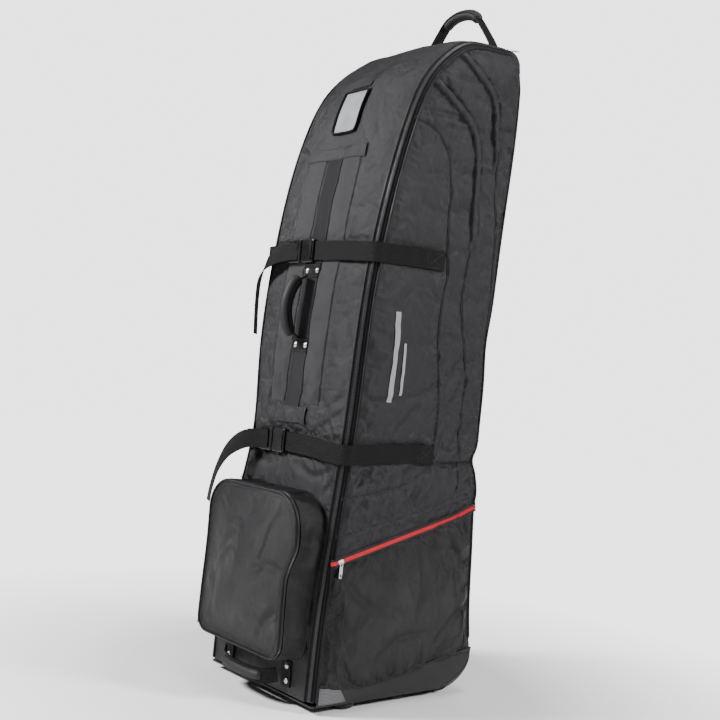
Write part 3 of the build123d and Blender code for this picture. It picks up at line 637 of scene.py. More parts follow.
def window_film(name):
    s = Shader(name)
    haze = s.noise(35, 4)
    base = s.mix(haze, rgb(0.20, 0.205, 0.22), rgb(0.40, 0.405, 0.425))
    material = s.finish(base, s.remap(haze, 0.3, 0.7, 0.06, 0.16), s.bump(s.noise(16, 2), 0.0012),
                        Specular_IOR_Level=0.8)
    s.bsdf.inputs["Coat Weight"].default_value = 0.8
    s.bsdf.inputs["Coat Roughness"].default_value = 0.05
    return material


def quilted(name, colour):
    """Lining laminated on foam, with a diamond quilt."""
    s = Shader(name)
    u, v, _ = s.axes()
    a = s.math("ABSOLUTE", s.sine(s.math("ADD", u, v), 0.11))
    b = s.math("ABSOLUTE", s.sine(s.math("SUBTRACT", u, v), 0.11))
    puff = s.math("POWER", s.math("MULTIPLY", a, b), 0.4)
    cloud = s.noise(12, 3)
    # Colour follows the quilt's height: painted shade in its valleys and a painted highlight on each puff.
    base = s.mix(puff, shade(colour, 0.6), shade(colour, 1.15))
    base = s.mix(s.remap(cloud, 0.4, 0.7, 0, 0.3), base, shade(colour, 1.5))
    bump = s.bump(s.noise(700, 2), 0.0002, 0.6, s.bump(puff, 0.004))
    return s.finish(base, 0.7, bump, sheen=0.03, Specular_IOR_Level=0.2)


def red_zip(name, rough):
    """Red zip, paler towards its front end."""
    s = Shader(name)
    y = s.axes("Object")[1]
    thread = s.math("ABSOLUTE", s.sine(s.axes()[0], 0.0012))
    base = s.mix(s.remap(y, -0.16, 0.20, 0.0, 1.0), rgb(0.74, 0.026, 0.042), rgb(0.62, 0.001, 0.018))
    base = s.mix(s.math("MULTIPLY", thread, 0.35), base, rgb(0.30, 0.002, 0.01))
    return s.finish(base, rough, s.bump(thread, 0.0002), Specular_IOR_Level=0.3)


MAIN = woven("fabric_charcoal", rgb(0.0082, 0.0078, 0.0096), rough=0.46, sheen=0.02, spec=0.30)
POCKET = woven("fabric_pocket", rgb(0.0036, 0.0034, 0.0044), 0.0016, 0.40, 0.01, 0.0004, 0.30)
LINING = quilted("lining_quilted", rgb(0.020, 0.020, 0.023))
LIGHT = dotted("fabric_dotted_grey", rgb(0.0400, 0.0390, 0.0432))
WEB = strapping("webbing_black", rgb(0.0036, 0.0035, 0.0040))
WEB_GREY = strapping("webbing_centre", rgb(0.0112, 0.0109, 0.0124))
TAPE = woven("zip_tape_black", rgb(0.0035, 0.0035, 0.0042), 0.0008, 0.65, 0.0, 0.0001, 0.15)
COIL = moulded("zip_coil_black", rgb(0.022, 0.022, 0.024), 0.34, 0.0, 500)
TAPE_RED = red_zip("zip_tape_red", 0.6)
COIL_RED = red_zip("zip_coil_red", 0.4)
# Black piping; the seam tubes on the sides use it too, as painted shade in their grooves.
PIPING_AND_SEAM_SHADE = woven("piping_black_and_seam_shade", rgb(0.0046, 0.0045, 0.0052), 0.0012, 0.45, 0.01, 0.0001, 0.22)
THREAD = woven("thread_grey", rgb(0.020, 0.0195, 0.022), 0.0005, 0.6, 0.02, 0.0)
MARK = woven("printed_mark_grey", rgb(0.25, 0.25, 0.262), 0.0011, 0.42, 0.05)
PLASTIC = moulded("moulded_black", rgb(0.0075, 0.0075, 0.0082), 0.48, spec=0.35)
BUCKLE = moulded("buckle_black", rgb(0.0050, 0.0050, 0.0056), 0.28, 0.00004, 900)
RUBBER = moulded("tyre_rubber", rgb(0.016, 0.016, 0.016), 0.68, 0.0003, 500, 0.3)
GRIP = moulded("grip_foam", rgb(0.0125, 0.0123, 0.0136), 0.55, 0.0004, 420, 0.28)
SCUFF = moulded("scuff_black", rgb(0.0066, 0.0066, 0.0073), 0.40, 0.0002, 600, 0.38)
HATCH = hatched("carbon_patch")
NICKEL = metal("pull_nickel", rgb(0.55, 0.55, 0.56), 0.26)
STEEL = metal("steel_zinc", rgb(0.50, 0.50, 0.50), 0.34)
FILM = window_film("window_film")
BOARD = moulded("board_grey", rgb(0.05, 0.05, 0.05), 0.7, 0.0003, 300)

# Bodies from the CAD that stay as they are, with their finish.
KEPT = {
    PLASTIC: ["base_tray", "kick_plate", "wheel_arches", "front_feet"],
    BUCKLE: ["upper_buckle_plug", "lower_buckle_plug", "buckle_sockets", "inside_buckles",
             "skid_rails", "wheel_hub_right", "wheel_hub_left"],
    RUBBER: ["wheel_tyre_right", "wheel_tyre_left"],
    STEEL: ["axles", "wheel_bearings_right", "wheel_bearings_left", "foot_screws"],
    NICKEL: ["long_zip_slider_right", "long_zip_slider_left",
             "long_zip_pull_right", "long_zip_pull_left", "side_zip_slider_right",
             "side_zip_slider_left", "side_zip_pull_right", "side_zip_pull_left",
             "shoe_zip_slider_lower", "shoe_zip_slider_upper", "shoe_zip_pull_lower",
             "shoe_zip_pull_upper"],
    BOARD: ["base_board"],
}
for material, names in KEPT.items():
    for node_name in names:
        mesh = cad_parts[node_name].data
        mesh.materials.clear()
        mesh.materials.append(material)


# ---------------------------------------------------------------- side panels

INSET_FRONT = 0.0155  # the side fabric starts behind the slanted zip band
INSET_REAR = 0.0025

# Sewn lines and soft folds on the side, as (Y, Z) points in millimetres.
RIB_FRONT = [(-30, 1220), (28, 1186), (70, 1158), (91, 1133), (104, 1076), (107, 1017),
             (112, 927), (112, 905)]
RIB_REAR = [(38, 1292), (71, 1269), (119, 1237), (140, 1205), (148, 1162), (157, 1118),
            (163, 1075)]
SEAM_RIB_FRONT = [(107, 905), (98, 788), (118, 710), (133, 654), (130, 582), (137, 495),
                  (143, 416)]
SEAM_RIB_REAR = [(157, 1118), (169, 1029), (180, 939), (186, 830), (188, 732), (193, 635),
                 (196, 520)]
SEAM_INNER = [(-70, 1135), (-21, 1124), (11, 1097), (27, 1071), (37, 1003), (39, 915),
              (49, 848), (40, 741), (55, 640), (62, 571), (62, 500)]
SEAM_LOW = [(-158, 397), (-68, 414), (6, 433), (65, 469), (110, 472), (189, 478)]
SEAM_POCKET = [(-163, 326), (5, 365), (198, 416)]
FOLDS = [  # line, depth in mm (negative is a hollow), width in mm
    ([(144, 1158), (180, 1164), (214, 1172)], -2.2, 6), ([(148, 1149), (222, 1118)], -2.4, 7),
    ([(-65, 1151), (23, 1158), (70, 1156)], -1.8, 6), ([(-23, 1167), (35, 1167)], 1.4, 6),
    ([(-2, 1130), (72, 1141)], -1.4, 5), ([(130, 982), (176, 975)], -2.2, 6),
    ([(9, 1234), (96, 1245)], -1.6, 5), ([(63, 1204), (122, 1216)], -1.6, 5),
    ([(80, 1178), (104, 1190)], 1.4, 5), ([(-130, 578), (-27, 596), (65, 629)], -2.4, 9),
    ([(-56, 511), (-35, 542), (11, 591)], -2.6, 8), ([(-118, 778), (-74, 828)], -1.8, 9),
    ([(60, 465), (110, 469), (189, 477)], -3.5, 6), ([(156, 424), (189, 448)], -4.0, 14),
    ([(-141, 409), (-95, 465)], -2.2, 9), ([(-134, 355), (-96, 402)], -2.4, 9),
    ([(13, 380), (17, 430)], -1.8, 8), ([(-110, 640), (-60, 720), (-40, 800)], 1.6, 16),
    ([(60, 880), (120, 930), (150, 1000)], 1.2, 16), ([(-70, 440), (20, 480), (60, 520)], 2.0, 12),
    ([(80, 560), (160, 520)], -1.8, 10), ([(70, 700), (170, 660)], -1.2, 12),
    ([(100, 1085), (150, 1092)], -1.4, 7), ([(198, 1010), (212, 985)], -1.8, 8),
]
TOP_TUFTS = [(68, 1296), (84, 1297), (101, 1299)]


def mm(points):
    return np.asarray(points, float) * MM


def scuff_top(y):
    """Height of the moulded strip's top edge along the side."""
    return np.interp(y, [-0.19, -0.12, -0.06, 0.0, 0.06, 0.14, 0.19, 0.245],
                     [0.056, 0.0495, 0.046, 0.052, 0.062, 0.076, 0.084, 0.094])


def side_frame(rows, columns):
    """Grid of (Y, Z) over one side, rows running from the front edge to the rear edge."""
    s0 = SPINE.front(0.040)
    s1 = SPINE.top + 0.004
    r0 = SPINE.rear(0.078)
    r1 = SPINE.top + 0.020
    i = np.linspace(0, 1, rows)
    yf, zf, nyf, nzf = SPINE.at(s0 + (s1 - s0) * i)
    yr, zr, nyr, nzr = SPINE.at(r0 + (r1 - r0) * i)
    shrink = 1 - 0.6 * smoothstep(0.97, 1.0, i)
    a = np.stack([yf - nyf * INSET_FRONT * shrink, zf - nzf * INSET_FRONT * shrink], -1)
    b = np.stack([yr - nyr * INSET_REAR, zr - nzr * INSET_REAR], -1)
    t = np.linspace(0, 1, columns)[None, :, None]
    return a[:, None] * (1 - t) + b[:, None] * t, i[:, None], t[..., 0]


def line_dip(yz, points, depth, width, fade=0.02):
    """A soft groove or ridge along a path, fading at both ends."""
    line = curve(mm(points), 0.01)
    d, _, along, total = to_line(yz, line)
    ends = smoothstep(0, fade, along) * smoothstep(0, fade, total - along)
    return depth * MM * np.exp(-(d / (width * MM)) ** 2) * ends


def padded_rib(yz, points):
    """A raised tube of padding with a stitched valley along its lower edge."""
    line = curve(mm(points), 0.006)
    d, _, along, total = to_line(yz, line)
    ends = smoothstep(-0.004, 0.012, along) * smoothstep(-0.004, 0.03, total - along)
    tube_up = 0.0062 * np.clip(1 - (d / 0.0085) ** 2, 0, 1) ** 0.6
    valley = -0.0030 * np.exp(-((np.abs(d) - 0.0105) / 0.0028) ** 2)
    return (tube_up + valley) * ends


def strap_press(z, centre):
    half = 0.019
    return smoothstep(half + 0.012, half - 0.004, np.abs(z - centre))


UPPER_Z = (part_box("upper_buckle_plug")[0].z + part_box("upper_buckle_plug")[1].z) / 2
LOWER_Z = (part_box("lower_buckle_plug")[0].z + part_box("lower_buckle_plug")[1].z) / 2
UPPER_END_Y, LOWER_END_Y = 0.037, 0.064


def above_zip(yz):
    """Height of a point above the side pocket's slanting zip."""
    lo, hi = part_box("side_pocket_zips")
    slope = (hi.z - lo.z - 0.012) / (hi.y - lo.y)
    return yz[..., 1] - (lo.z + 0.006 + (yz[..., 0] - lo.y) * slope)


def side_pins(yz, i, t):
    """Which points the stitching holds during the simulation."""
    edge = np.minimum(np.minimum(t, 1 - t) * 0.33, np.minimum(i, 1 - i) * 1.4)
    pin = smoothstep(0.008, 0.003, edge)
    for points in (RIB_FRONT, RIB_REAR, SEAM_RIB_FRONT, SEAM_RIB_REAR, SEAM_INNER, SEAM_LOW,
                   SEAM_POCKET):
        d = to_line(yz, curve(mm(points), 0.012))[0]
        pin = np.maximum(pin, 0.9 * smoothstep(0.009, 0.003, d))
    for centre, end in ((UPPER_Z, UPPER_END_Y), (LOWER_Z, LOWER_END_Y)):
        held = strap_press(yz[..., 1], centre) * smoothstep(end + 0.01, end - 0.005, yz[..., 0])
        pin = np.maximum(pin, 0.8 * held)
    return np.maximum(pin, smoothstep(0.030, 0.012, above_zip(yz)))


def side_skin():
    """Right-hand padded side panel: simulated between its seams, then sewn detail on top."""
    rows, columns = ((250, 62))
    yz, i, t = side_frame(rows, columns)
    y, z = yz[..., 0], yz[..., 1]
    width = np.linalg.norm(yz[:, -1] - yz[:, 0], axis=-1)[:, None]
    from_front, from_rear = t * width, (1 - t) * width
    round_front = 1 - smoothstep(-0.004, 0.016, from_front)
    round_rear = 1 - smoothstep(-0.004, 0.020, from_rear)
    puff = 0.007 * np.sin(math.pi * np.clip(t, 0, 1)) ** 0.7 * smoothstep(0.0, 0.12, width)
    puff = puff * (1 - 0.5 * bell(z, 0.488, 0.07)) * smoothstep(0.015, 0.10, above_zip(yz))
    x = SIDE + 0.0004 - 0.0030 * round_front - 0.0055 * round_rear + puff
    x = x + 0.0010 * waves(yz, 0.14, 3) * smoothstep(0, 0.03, from_front) * smoothstep(
        0, 0.03, from_rear)
    P = np.concatenate([x[..., None], yz], -1)
    taut = smoothstep(0.55, 0.78, z) * (1 - 0.45 * bell(z, 1.17, 0.06))
    P = simulate(P, side_pins(yz, i, t), pressure=3.0, slack=0.046, frames=20, cap=0.0080,
                 bend=0.6, taut=taut, least=0.013)
    P = refine(P)
    yz = P[..., 1:]
    y, z = yz[..., 0], yz[..., 1]
    lift = padded_rib(yz, RIB_FRONT) + padded_rib(yz, RIB_REAR)
    for points in (SEAM_RIB_FRONT, SEAM_RIB_REAR, SEAM_INNER, SEAM_LOW, SEAM_POCKET):
        lift = lift + line_dip(yz, points, -3.2, 3.4, 0.03) + line_dip(yz, points, 1.6, 12, 0.03)
    for points, depth, wide in FOLDS:
        lift = lift + line_dip(yz, points, 2.1 * depth, wide, 0.025)
    for ty, tz in TOP_TUFTS:
        off = np.hypot(y - ty * MM, (z - tz * MM) * 0.7)
        lift = lift - 0.0022 * np.exp(-(off / 0.006) ** 2)
    for centre, end in ((UPPER_Z, UPPER_END_Y), (LOWER_Z, LOWER_END_Y)):
        held = strap_press(z, centre) * smoothstep(end + 0.02, end, y)
        lift = lift - 0.0032 * held
    lift = lift * smoothstep(-0.004, 0.016, above_zip(yz))
    fine = waves(yz * [1.0, 0.8], 0.030, 8)
    edge = np.minimum(np.minimum(y - y[:, :1], y[:, -1:] - y), 0.05) / 0.05
    lift = lift + 0.00045 * fine * np.clip(edge, 0, 1)
    P[..., 0] += lift
    deepest = SIDE - 0.0085  # a fold never reaches the lining behind it
    clear = P[..., 0] - deepest
    P[..., 0] = deepest + 0.5 * (clear + np.sqrt(clear ** 2 + 0.0015 ** 2))
    return P


SIDE_GRID = side_skin()
SIDE_NORMAL = normals(SIDE_GRID)


def on_side(yz, lift=0.0):
    """Points on the finished right-hand side fabric, with their normals."""
    yz = np.asarray(yz, float)
    flat = SIDE_GRID[..., 1:].reshape(-1, 2)
    xs, ns = SIDE_GRID[..., 0].ravel(), SIDE_NORMAL.reshape(-1, 3)
    out, up = [], []
    for p in yz:
        off = ((flat - p) ** 2).sum(-1)
        near = np.argpartition(off, 4)[:4]
        w = 1 / (off[near] + 1e-8)
        w /= w.sum()
        n = unit((ns[near] * w[:, None]).sum(0))
        n = n if n[0] > 0 else -n
        out.append([(xs[near] * w).sum(), p[0], p[1]] + n * lift)
        up.append(n)
    return np.array(out), np.array(up)


def beside(points, step, offset):
    """A smooth line through the points, moved sideways by an offset."""
    line = curve(mm(points), step)
    tangent = unit(np.gradient(line, axis=0))
    return line + np.stack([-tangent[:, 1], tangent[:, 0]], -1) * offset


def seam_stitches(points, offset):
    p, n = on_side(beside(points, 0.008, offset), 0.0)
    return blocks(p, n, *STITCH)


def seam_shade_tube(points, radius=0.0011, offset=0.0):
    """A near-black tube along a seam, sunk in its groove: painted shade that reads as the seam's dark line.
    """
    p, _ = on_side(beside(points, 0.005, offset), 0.0003)
    return tube(soften(p, 1.5), radius, 6, up=(1, 0, 0))


def side_panels():
    seams = (SEAM_RIB_FRONT, SEAM_RIB_REAR, SEAM_INNER, SEAM_LOW, SEAM_POCKET)
    ribs = (RIB_FRONT, RIB_REAR)
    base = [(MAIN, sheet(SIDE_GRID, FABRIC_THICK))]
    # Near-black tubes laid in the seam grooves and in the stitched valley beside each rib: painted shade
    # along the seams.
    base += [(PIPING_AND_SEAM_SHADE, seam_shade_tube(points)) for points in seams]
    base += [(PIPING_AND_SEAM_SHADE, seam_shade_tube(points, 0.0014, -0.0105)) for points in ribs]
    base += [(THREAD, seam_stitches(points, 0.0042)) for points in seams]
    base += [(THREAD, seam_stitches(points, -0.0125)) for points in ribs]
    bars = [((-74, 585), (-74, 758), 11), ((-50, 600), (-50, 700), 6)]
    marks = []
    for a, b, wide in bars:
        line = curve(mm([a, (np.add(a, b) / 2).tolist(), b]), 0.004)
        p, n = on_side(line, 0.0010)
        across = unit(np.cross(n, np.gradient(p, axis=0)))
        marks.append((MARK, ribbon(p, across, wide * MM, 0.0006, flip=False)))
    right = base + marks
    left = [(m, moved(mirror(part), drape)) for m, part in right]
    build("side_fabric_right", right, stands_for=["side_panel_right"])
    build("side_fabric_left", left, stands_for=["side_panel_left"])


def scuff_guards():
    """Moulded strip round the bottom of each side, with a corded top edge."""
    columns = 130
    s_low = np.linspace(SPINE.rear(0.0885), SPINE.end, 40)
    ya, za = SPINE.at(s_low)[:2]
    y = np.linspace(-0.1675, 0.2305, columns)
    order = np.argsort(ya)
    bottom = np.where(y < 0.150, FLOOR + 0.0006, np.interp(y, ya[order], za[order]) + 0.0015)
    top = scuff_top(y)
    bottom = np.minimum(bottom, top - 0.003)
    across = np.array([0.0, 0.04, 0.12, 0.35, 0.65, 0.88, 0.96, 1.0])
    rise = np.array([-9.5, 0.2, 1.7, 2.4, 2.4, 1.7, 0.6, -1.0]) * MM
    z = bottom + (top - bottom) * across[:, None]
    x = SIDE + rise[:, None] + 0 * z
    x = x - 0.004 * (1 - smoothstep(-0.170, -0.155, y))[None]
    P = np.stack([x, y[None] + 0 * z, z], -1)
    guard = sheet(P, 0.003)
    path = np.stack([np.full(columns, SIDE + 0.0016), y, top + 0.0004], -1)
    cord = tube(path, 0.0021, 8)
    patch_y = np.linspace(-0.1655, -0.100, 24)
    lower = FLOOR + 0.0075
    rows = np.linspace(0, 1, 7)[:, None]
    slant = np.clip((patch_y + 0.118) / 0.018, 0, 1)
    upper = scuff_top(patch_y) - 0.004 - slant * 0.026
    zz = lower + (upper - lower)[None] * rows
    P2 = np.stack([np.full_like(zz, SIDE + 0.0034), patch_y[None] + 0 * zz, zz], -1)
    P2[..., 0] -= 0.004 * (1 - smoothstep(-0.170, -0.155, patch_y))[None]
    patch = sheet(P2, 0.0014)
    rear = np.linspace(SPINE.rear(0.090), SPINE.end - 0.01, 46)
    yb, zb, nyb, nzb = SPINE.at(rear)
    rim = np.stack([np.full(46, SIDE - 0.0015), yb - nyb * 0.001, zb - nzb * 0.001], -1)
    bumper = tube(rim, 0.0045 * np.sin(np.linspace(0.25, math.pi - 0.25, 46)) ** 0.4, 10,
                  up=(1, 0, 0))
    right = [(SCUFF, guard), (PIPING_AND_SEAM_SHADE, cord), (HATCH, patch), (SCUFF, bumper)]
    left = [(m, mirror(part)) for m, part in right]
    build("scuff_guards", right + left, stands_for=["scuff_strips"])


# ---------------------------------------------------------------- front, hood, top and back

PANEL_SEAM = [(-93, 560), (-93, 1000), (-97, 1050), (-112, 1085), (-151, 1104)]


def strip_grid(s0, s1, x0, x1, rows, columns):
    s = np.linspace(s0, s1, rows)[:, None]
    x = np.linspace(x0, x1, columns)[None]
    return np.broadcast_arrays(s, x)


def front_relief(x, s):
    """Sewn valleys and soft folds on the front and hood, in metres outwards."""
    z = np.interp(s, SPINE.s, SPINE.p[:, 1])
    xz = np.stack([x, z], -1)
    lift = 0 * x
    for sign in (-1, 1):
        mirror_line = [(sign * (px + 6) - 6 if sign > 0 else px, pz) for px, pz in PANEL_SEAM]
        lift = lift + line_dip(xz, mirror_line, -2.2, 3.5) + line_dip(xz, mirror_line, 1.2, 13)
    for centre in (UPPER_Z, LOWER_Z):
        lift = lift - 0.0020 * strap_press(z, centre) * (1 - 0.5 * bell(x, -0.04, 0.06))
    low = [([(-140, 470), (-70, 440), (-20, 455)], -2.6, 8), ([(20, 455), (90, 430), (145, 455)], -2.4, 9),
           ([(-150, 560), (-100, 520), (-60, 505)], -2.6, 8), ([(148, 560), (90, 525), (50, 510)], -2.4, 8),
           ([(-146, 640), (-110, 590), (-98, 540)], 2.0, 9),
           ([(-60, 640), (-52, 580), (-58, 530)], -1.4, 7),
           ([(-150, 900), (-110, 935), (-95, 990)], -1.6, 9),
           ([(60, 600), (100, 560), (146, 600)], -1.8, 9),
           ([(-130, 200), (-152, 300)], -1.8, 9), ([(148, 160), (150, 330)], -2.0, 8)]
    for points, depth, wide in low:
        lift = lift + line_dip(xz, points, 1.5 * depth, wide, 0.02)
    return lift


def front_skin_grid():
    rows, columns = ((330, 64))
    s0, s1 = SPINE.front(0.022), S_HOOD_END
    s, x = strip_grid(s0, s1, -0.1525, 0.1525, rows, columns)
    P = on_spine(x, s, 0.0006 * waves(np.stack([x, s], -1), 0.12, 5))
    z = P[..., 2]
    edge = 0.1525 - np.abs(x)
    pin = smoothstep(0.010, 0.003, edge)
    pin = np.maximum(pin, smoothstep(0.010, 0.003, np.minimum(s - s0, s1 - s)))
    pin = np.maximum(pin, 0.85 * smoothstep(0.024, 0.018, np.abs(x + 0.006)) * (z > 0.55) * (z < 1.12))
    for sign in (-1, 1):
        line = [(px if sign < 0 else -12 - px, pz) for px, pz in PANEL_SEAM]
        d = to_line(np.stack([x, z], -1), curve(mm(line), 0.012))[0]
        pin = np.maximum(pin, 0.85 * smoothstep(0.009, 0.003, d))
    for centre in (UPPER_Z, LOWER_Z):
        pin = np.maximum(pin, 0.8 * strap_press(z, centre))
    pin = np.maximum(pin, smoothstep(0.12, 0.09, z))
    taut = smoothstep(0.50, 0.68, z)
    P = simulate(P, pin, pressure=2.0, slack=0.034, frames=16, cap=0.0050, bend=0.8, taut=taut,
                 least=0.007)
    P = refine(P)
    s, x = strip_grid(s0, s1, -0.1525, 0.1525, *P.shape[:2])
    return P + normals(P) * front_relief(x, s)[..., None]


FRONT_S = (SPINE.front(0.022), S_HOOD_END)
FRONT_GRID = drape(front_skin_grid())
FRONT_NORMAL = normals(FRONT_GRID)


def on_front(x, s, lift=0.0):
    """A point on the finished front and hood fabric, by width and place on the line."""
    x, s = np.broadcast_arrays(np.asarray(x, float), np.asarray(s, float))
    n, m = FRONT_GRID.shape[:2]
    i = np.clip((s - FRONT_S[0]) / (FRONT_S[1] - FRONT_S[0]), 0, 1) * (n - 1)
    j = np.clip((x + 0.1525) / 0.305, 0, 1) * (m - 1)
    a, b = np.minimum(i.astype(int), n - 2), np.minimum(j.astype(int), m - 2)
    u, v = (i - a)[..., None], (j - b)[..., None]

    def blendv(G):
        return ((G[a, b] * (1 - v) + G[a, b + 1] * v) * (1 - u)
                + (G[a + 1, b] * (1 - v) + G[a + 1, b + 1] * v) * u)

    lift = np.asarray(lift, float)
    return blendv(FRONT_GRID) + unit(blendv(FRONT_NORMAL)) * lift[..., None]


def sewn_strip(s, x0, x1, lift, columns=9):
    """Grid that lies on the front fabric at a given lift, for pieces sewn on it."""
    return on_front(np.linspace(x0, x1, columns)[None], np.asarray(s)[:, None], lift)


def front_skin():
    build("front_fabric", [(MAIN, sheet(FRONT_GRID, 0.004))], (CASE, HOOD),
          ["front_panel", "hood_panel"])


def spine_strip(s, x0, x1, lift, columns=9):
    """Grid that follows the padded strip at a given lift, for pieces sewn behind the hood."""
    return drape(on_spine(np.linspace(x0, x1, columns)[None], np.asarray(s)[:, None], lift))


def back_and_yoke():
    """Fixed top strip behind the hood, and the plain padded back."""
    rows = 26
    s = np.linspace(S_HOOD_END + 0.0006, S_BACK_TOP, rows)[:, None]
    x = np.linspace(-0.1625, 0.1625, 60)[None]
    yoke = drape(on_spine(x, s))
    seam_s = float(S_HOOD_END + 0.005)
    line_x = np.linspace(-0.150, 0.150, 120)
    row = drape(on_spine(line_x, np.full(120, seam_s), 0.0002))
    up = np.tile([0.0, -0.1, 1.0], (120, 1))
    parts = [(MAIN, sheet(yoke, FABRIC_THICK)), (THREAD, blocks(row, up, *STITCH))]
    build("top_yoke_fabric", parts, stands_for=["top_yoke"])

    rows, columns = ((200, 60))
    s, x = strip_grid(S_BACK_TOP + 0.0005, S_BACK_LOW, -0.1655, 0.1655, rows, columns)
    P = on_spine(x, s, 0.0005 * waves(np.stack([x, s], -1), 0.10, 9))
    edge = 0.1655 - np.abs(x)
    ends = np.minimum(s - s.min(), s.max() - s)
    pin = np.maximum(smoothstep(0.010, 0.003, edge), smoothstep(0.010, 0.003, ends))
    channel = np.abs(np.abs(x) - 0.085)
    pin = np.maximum(pin, 0.9 * smoothstep(0.007, 0.002, channel))
    P = simulate(P, pin, pressure=2.5, slack=0.015, frames=14, cap=0.005, bend=0.8)
    groove = -0.0018 * np.exp(-(channel / 0.003) ** 2)
    P = P + normals(P) * groove[..., None]
    P = refine(P)
    P = drape(P)
    parts = [(MAIN, sheet(P, FABRIC_THICK))]
    count = 200
    for cx in (-0.089, 0.089):
        place = np.linspace(S_BACK_TOP + 0.02, S_BACK_LOW - 0.02, count)
        path = drape(on_spine(np.full(count, cx), place, 0.0012))
        up = np.tile([0.0, 1.0, 0.0], (count, 1))
        parts.append((THREAD, blocks(path, up, *STITCH)))
    build("back_fabric", parts, stands_for=["back_panel"])
    edges = []
    for sign in (-1, 1):
        place = np.linspace(S_HOOD_END + 0.075, S_BACK_LOW + 0.19, 300)
        sink = -0.0022 - 0.004 * smoothstep(0.03, 0.0, place - place[0])
        path = drape(on_spine(np.full(300, sign * 0.1690), place, sink))
        edges.append((MAIN, tube(path, 0.0024, 8, up=(1, 0, 0))))
    build("back_piping", edges)


# Cross-section of the right-hand long zip: width X and drop from the outline, in mm.
BAND = {"cord_front": (153.6, 0.6), "tape_front": ((154.8, 0.2), (161.6, -4.4)),
        "teeth_front": (161.0, -3.2), "teeth_side": (163.0, -4.9),
        "tape_side": ((162.0, -4.7), (170.2, -13.6)), "cord_side": (170.9, -14.8)}


def band_path(s, x, drop, sign):
    """A line at one place of the zip band's cross-section."""
    y, z, ny, nz = SPINE.at(s)
    p = np.stack([np.full(len(s), sign * x * MM), y + ny * drop * MM, z + nz * drop * MM], -1)
    return drape(p)


def band_tape(s, ends, sign):
    cells = []
    for k in np.linspace(0, 1, 5):
        x = ends[0][0] + (ends[1][0] - ends[0][0]) * k
        drop = ends[0][1] + (ends[1][1] - ends[0][1]) * k
        cells.append(band_path(s, x, drop + 0.5 * math.sin(math.pi * k), sign))
    P = np.stack(cells, 1)
    return sheet(P if sign > 0 else P[:, ::-1], 0.0011)


def band_teeth(s, at, sign):
    path = band_path(s, at[0], at[1] + 0.4, sign)
    _, _, ny, nz = SPINE.at(s)
    up = np.stack([np.full(len(s), sign * 0.55), ny * 0.83, nz * 0.83], -1)
    return blocks(path, up, 0.0016, 0.0030, 0.0014, 0.0026)


def long_zips():
    moving, fixed = [], []
    s_front = np.arange(SPINE.front(0.024), S_HOOD_END, 0.004)
    s_side = np.arange(SPINE.front(0.024), SPINE.top + 0.012, 0.004)
    for sign in (-1, 1):
        moving += [(PIPING_AND_SEAM_SHADE, tube(band_path(s_front, *BAND["cord_front"], sign), 0.0020, 8)),
                   (TAPE, band_tape(s_front, BAND["tape_front"], sign)),
                   (COIL, band_teeth(s_front, BAND["teeth_front"], sign))]
        fixed += [(PIPING_AND_SEAM_SHADE, tube(band_path(s_side, *BAND["cord_side"], sign), 0.0024, 8)),
                  (TAPE, band_tape(s_side, BAND["tape_side"], sign)),
                  (COIL, band_teeth(s_side, BAND["teeth_side"], sign))]
        for where, target, frac in (("tape_front", moving, 0.45), ("tape_side", fixed, 0.62)):
            a, b = BAND[where]
            s_line = s_front if target is moving else s_side
            x, d = a[0] + (b[0] - a[0]) * frac, a[1] + (b[1] - a[1]) * frac
            _, _, ny, nz = SPINE.at(s_line)
            up = np.stack([np.full(len(s_line), sign * 0.7), ny * 0.7, nz * 0.7], -1)
            target.append((THREAD, blocks(band_path(s_line, x, d + 0.6, sign), up,
                                          0.0030, 0.0007, 0.0006, 0.0046)))
    build("long_zip_opening_half", moving, (CASE, HOOD), ["long_zip_hood"])
    build("long_zip_fixed_half", fixed, stands_for=["long_zip_lower"])


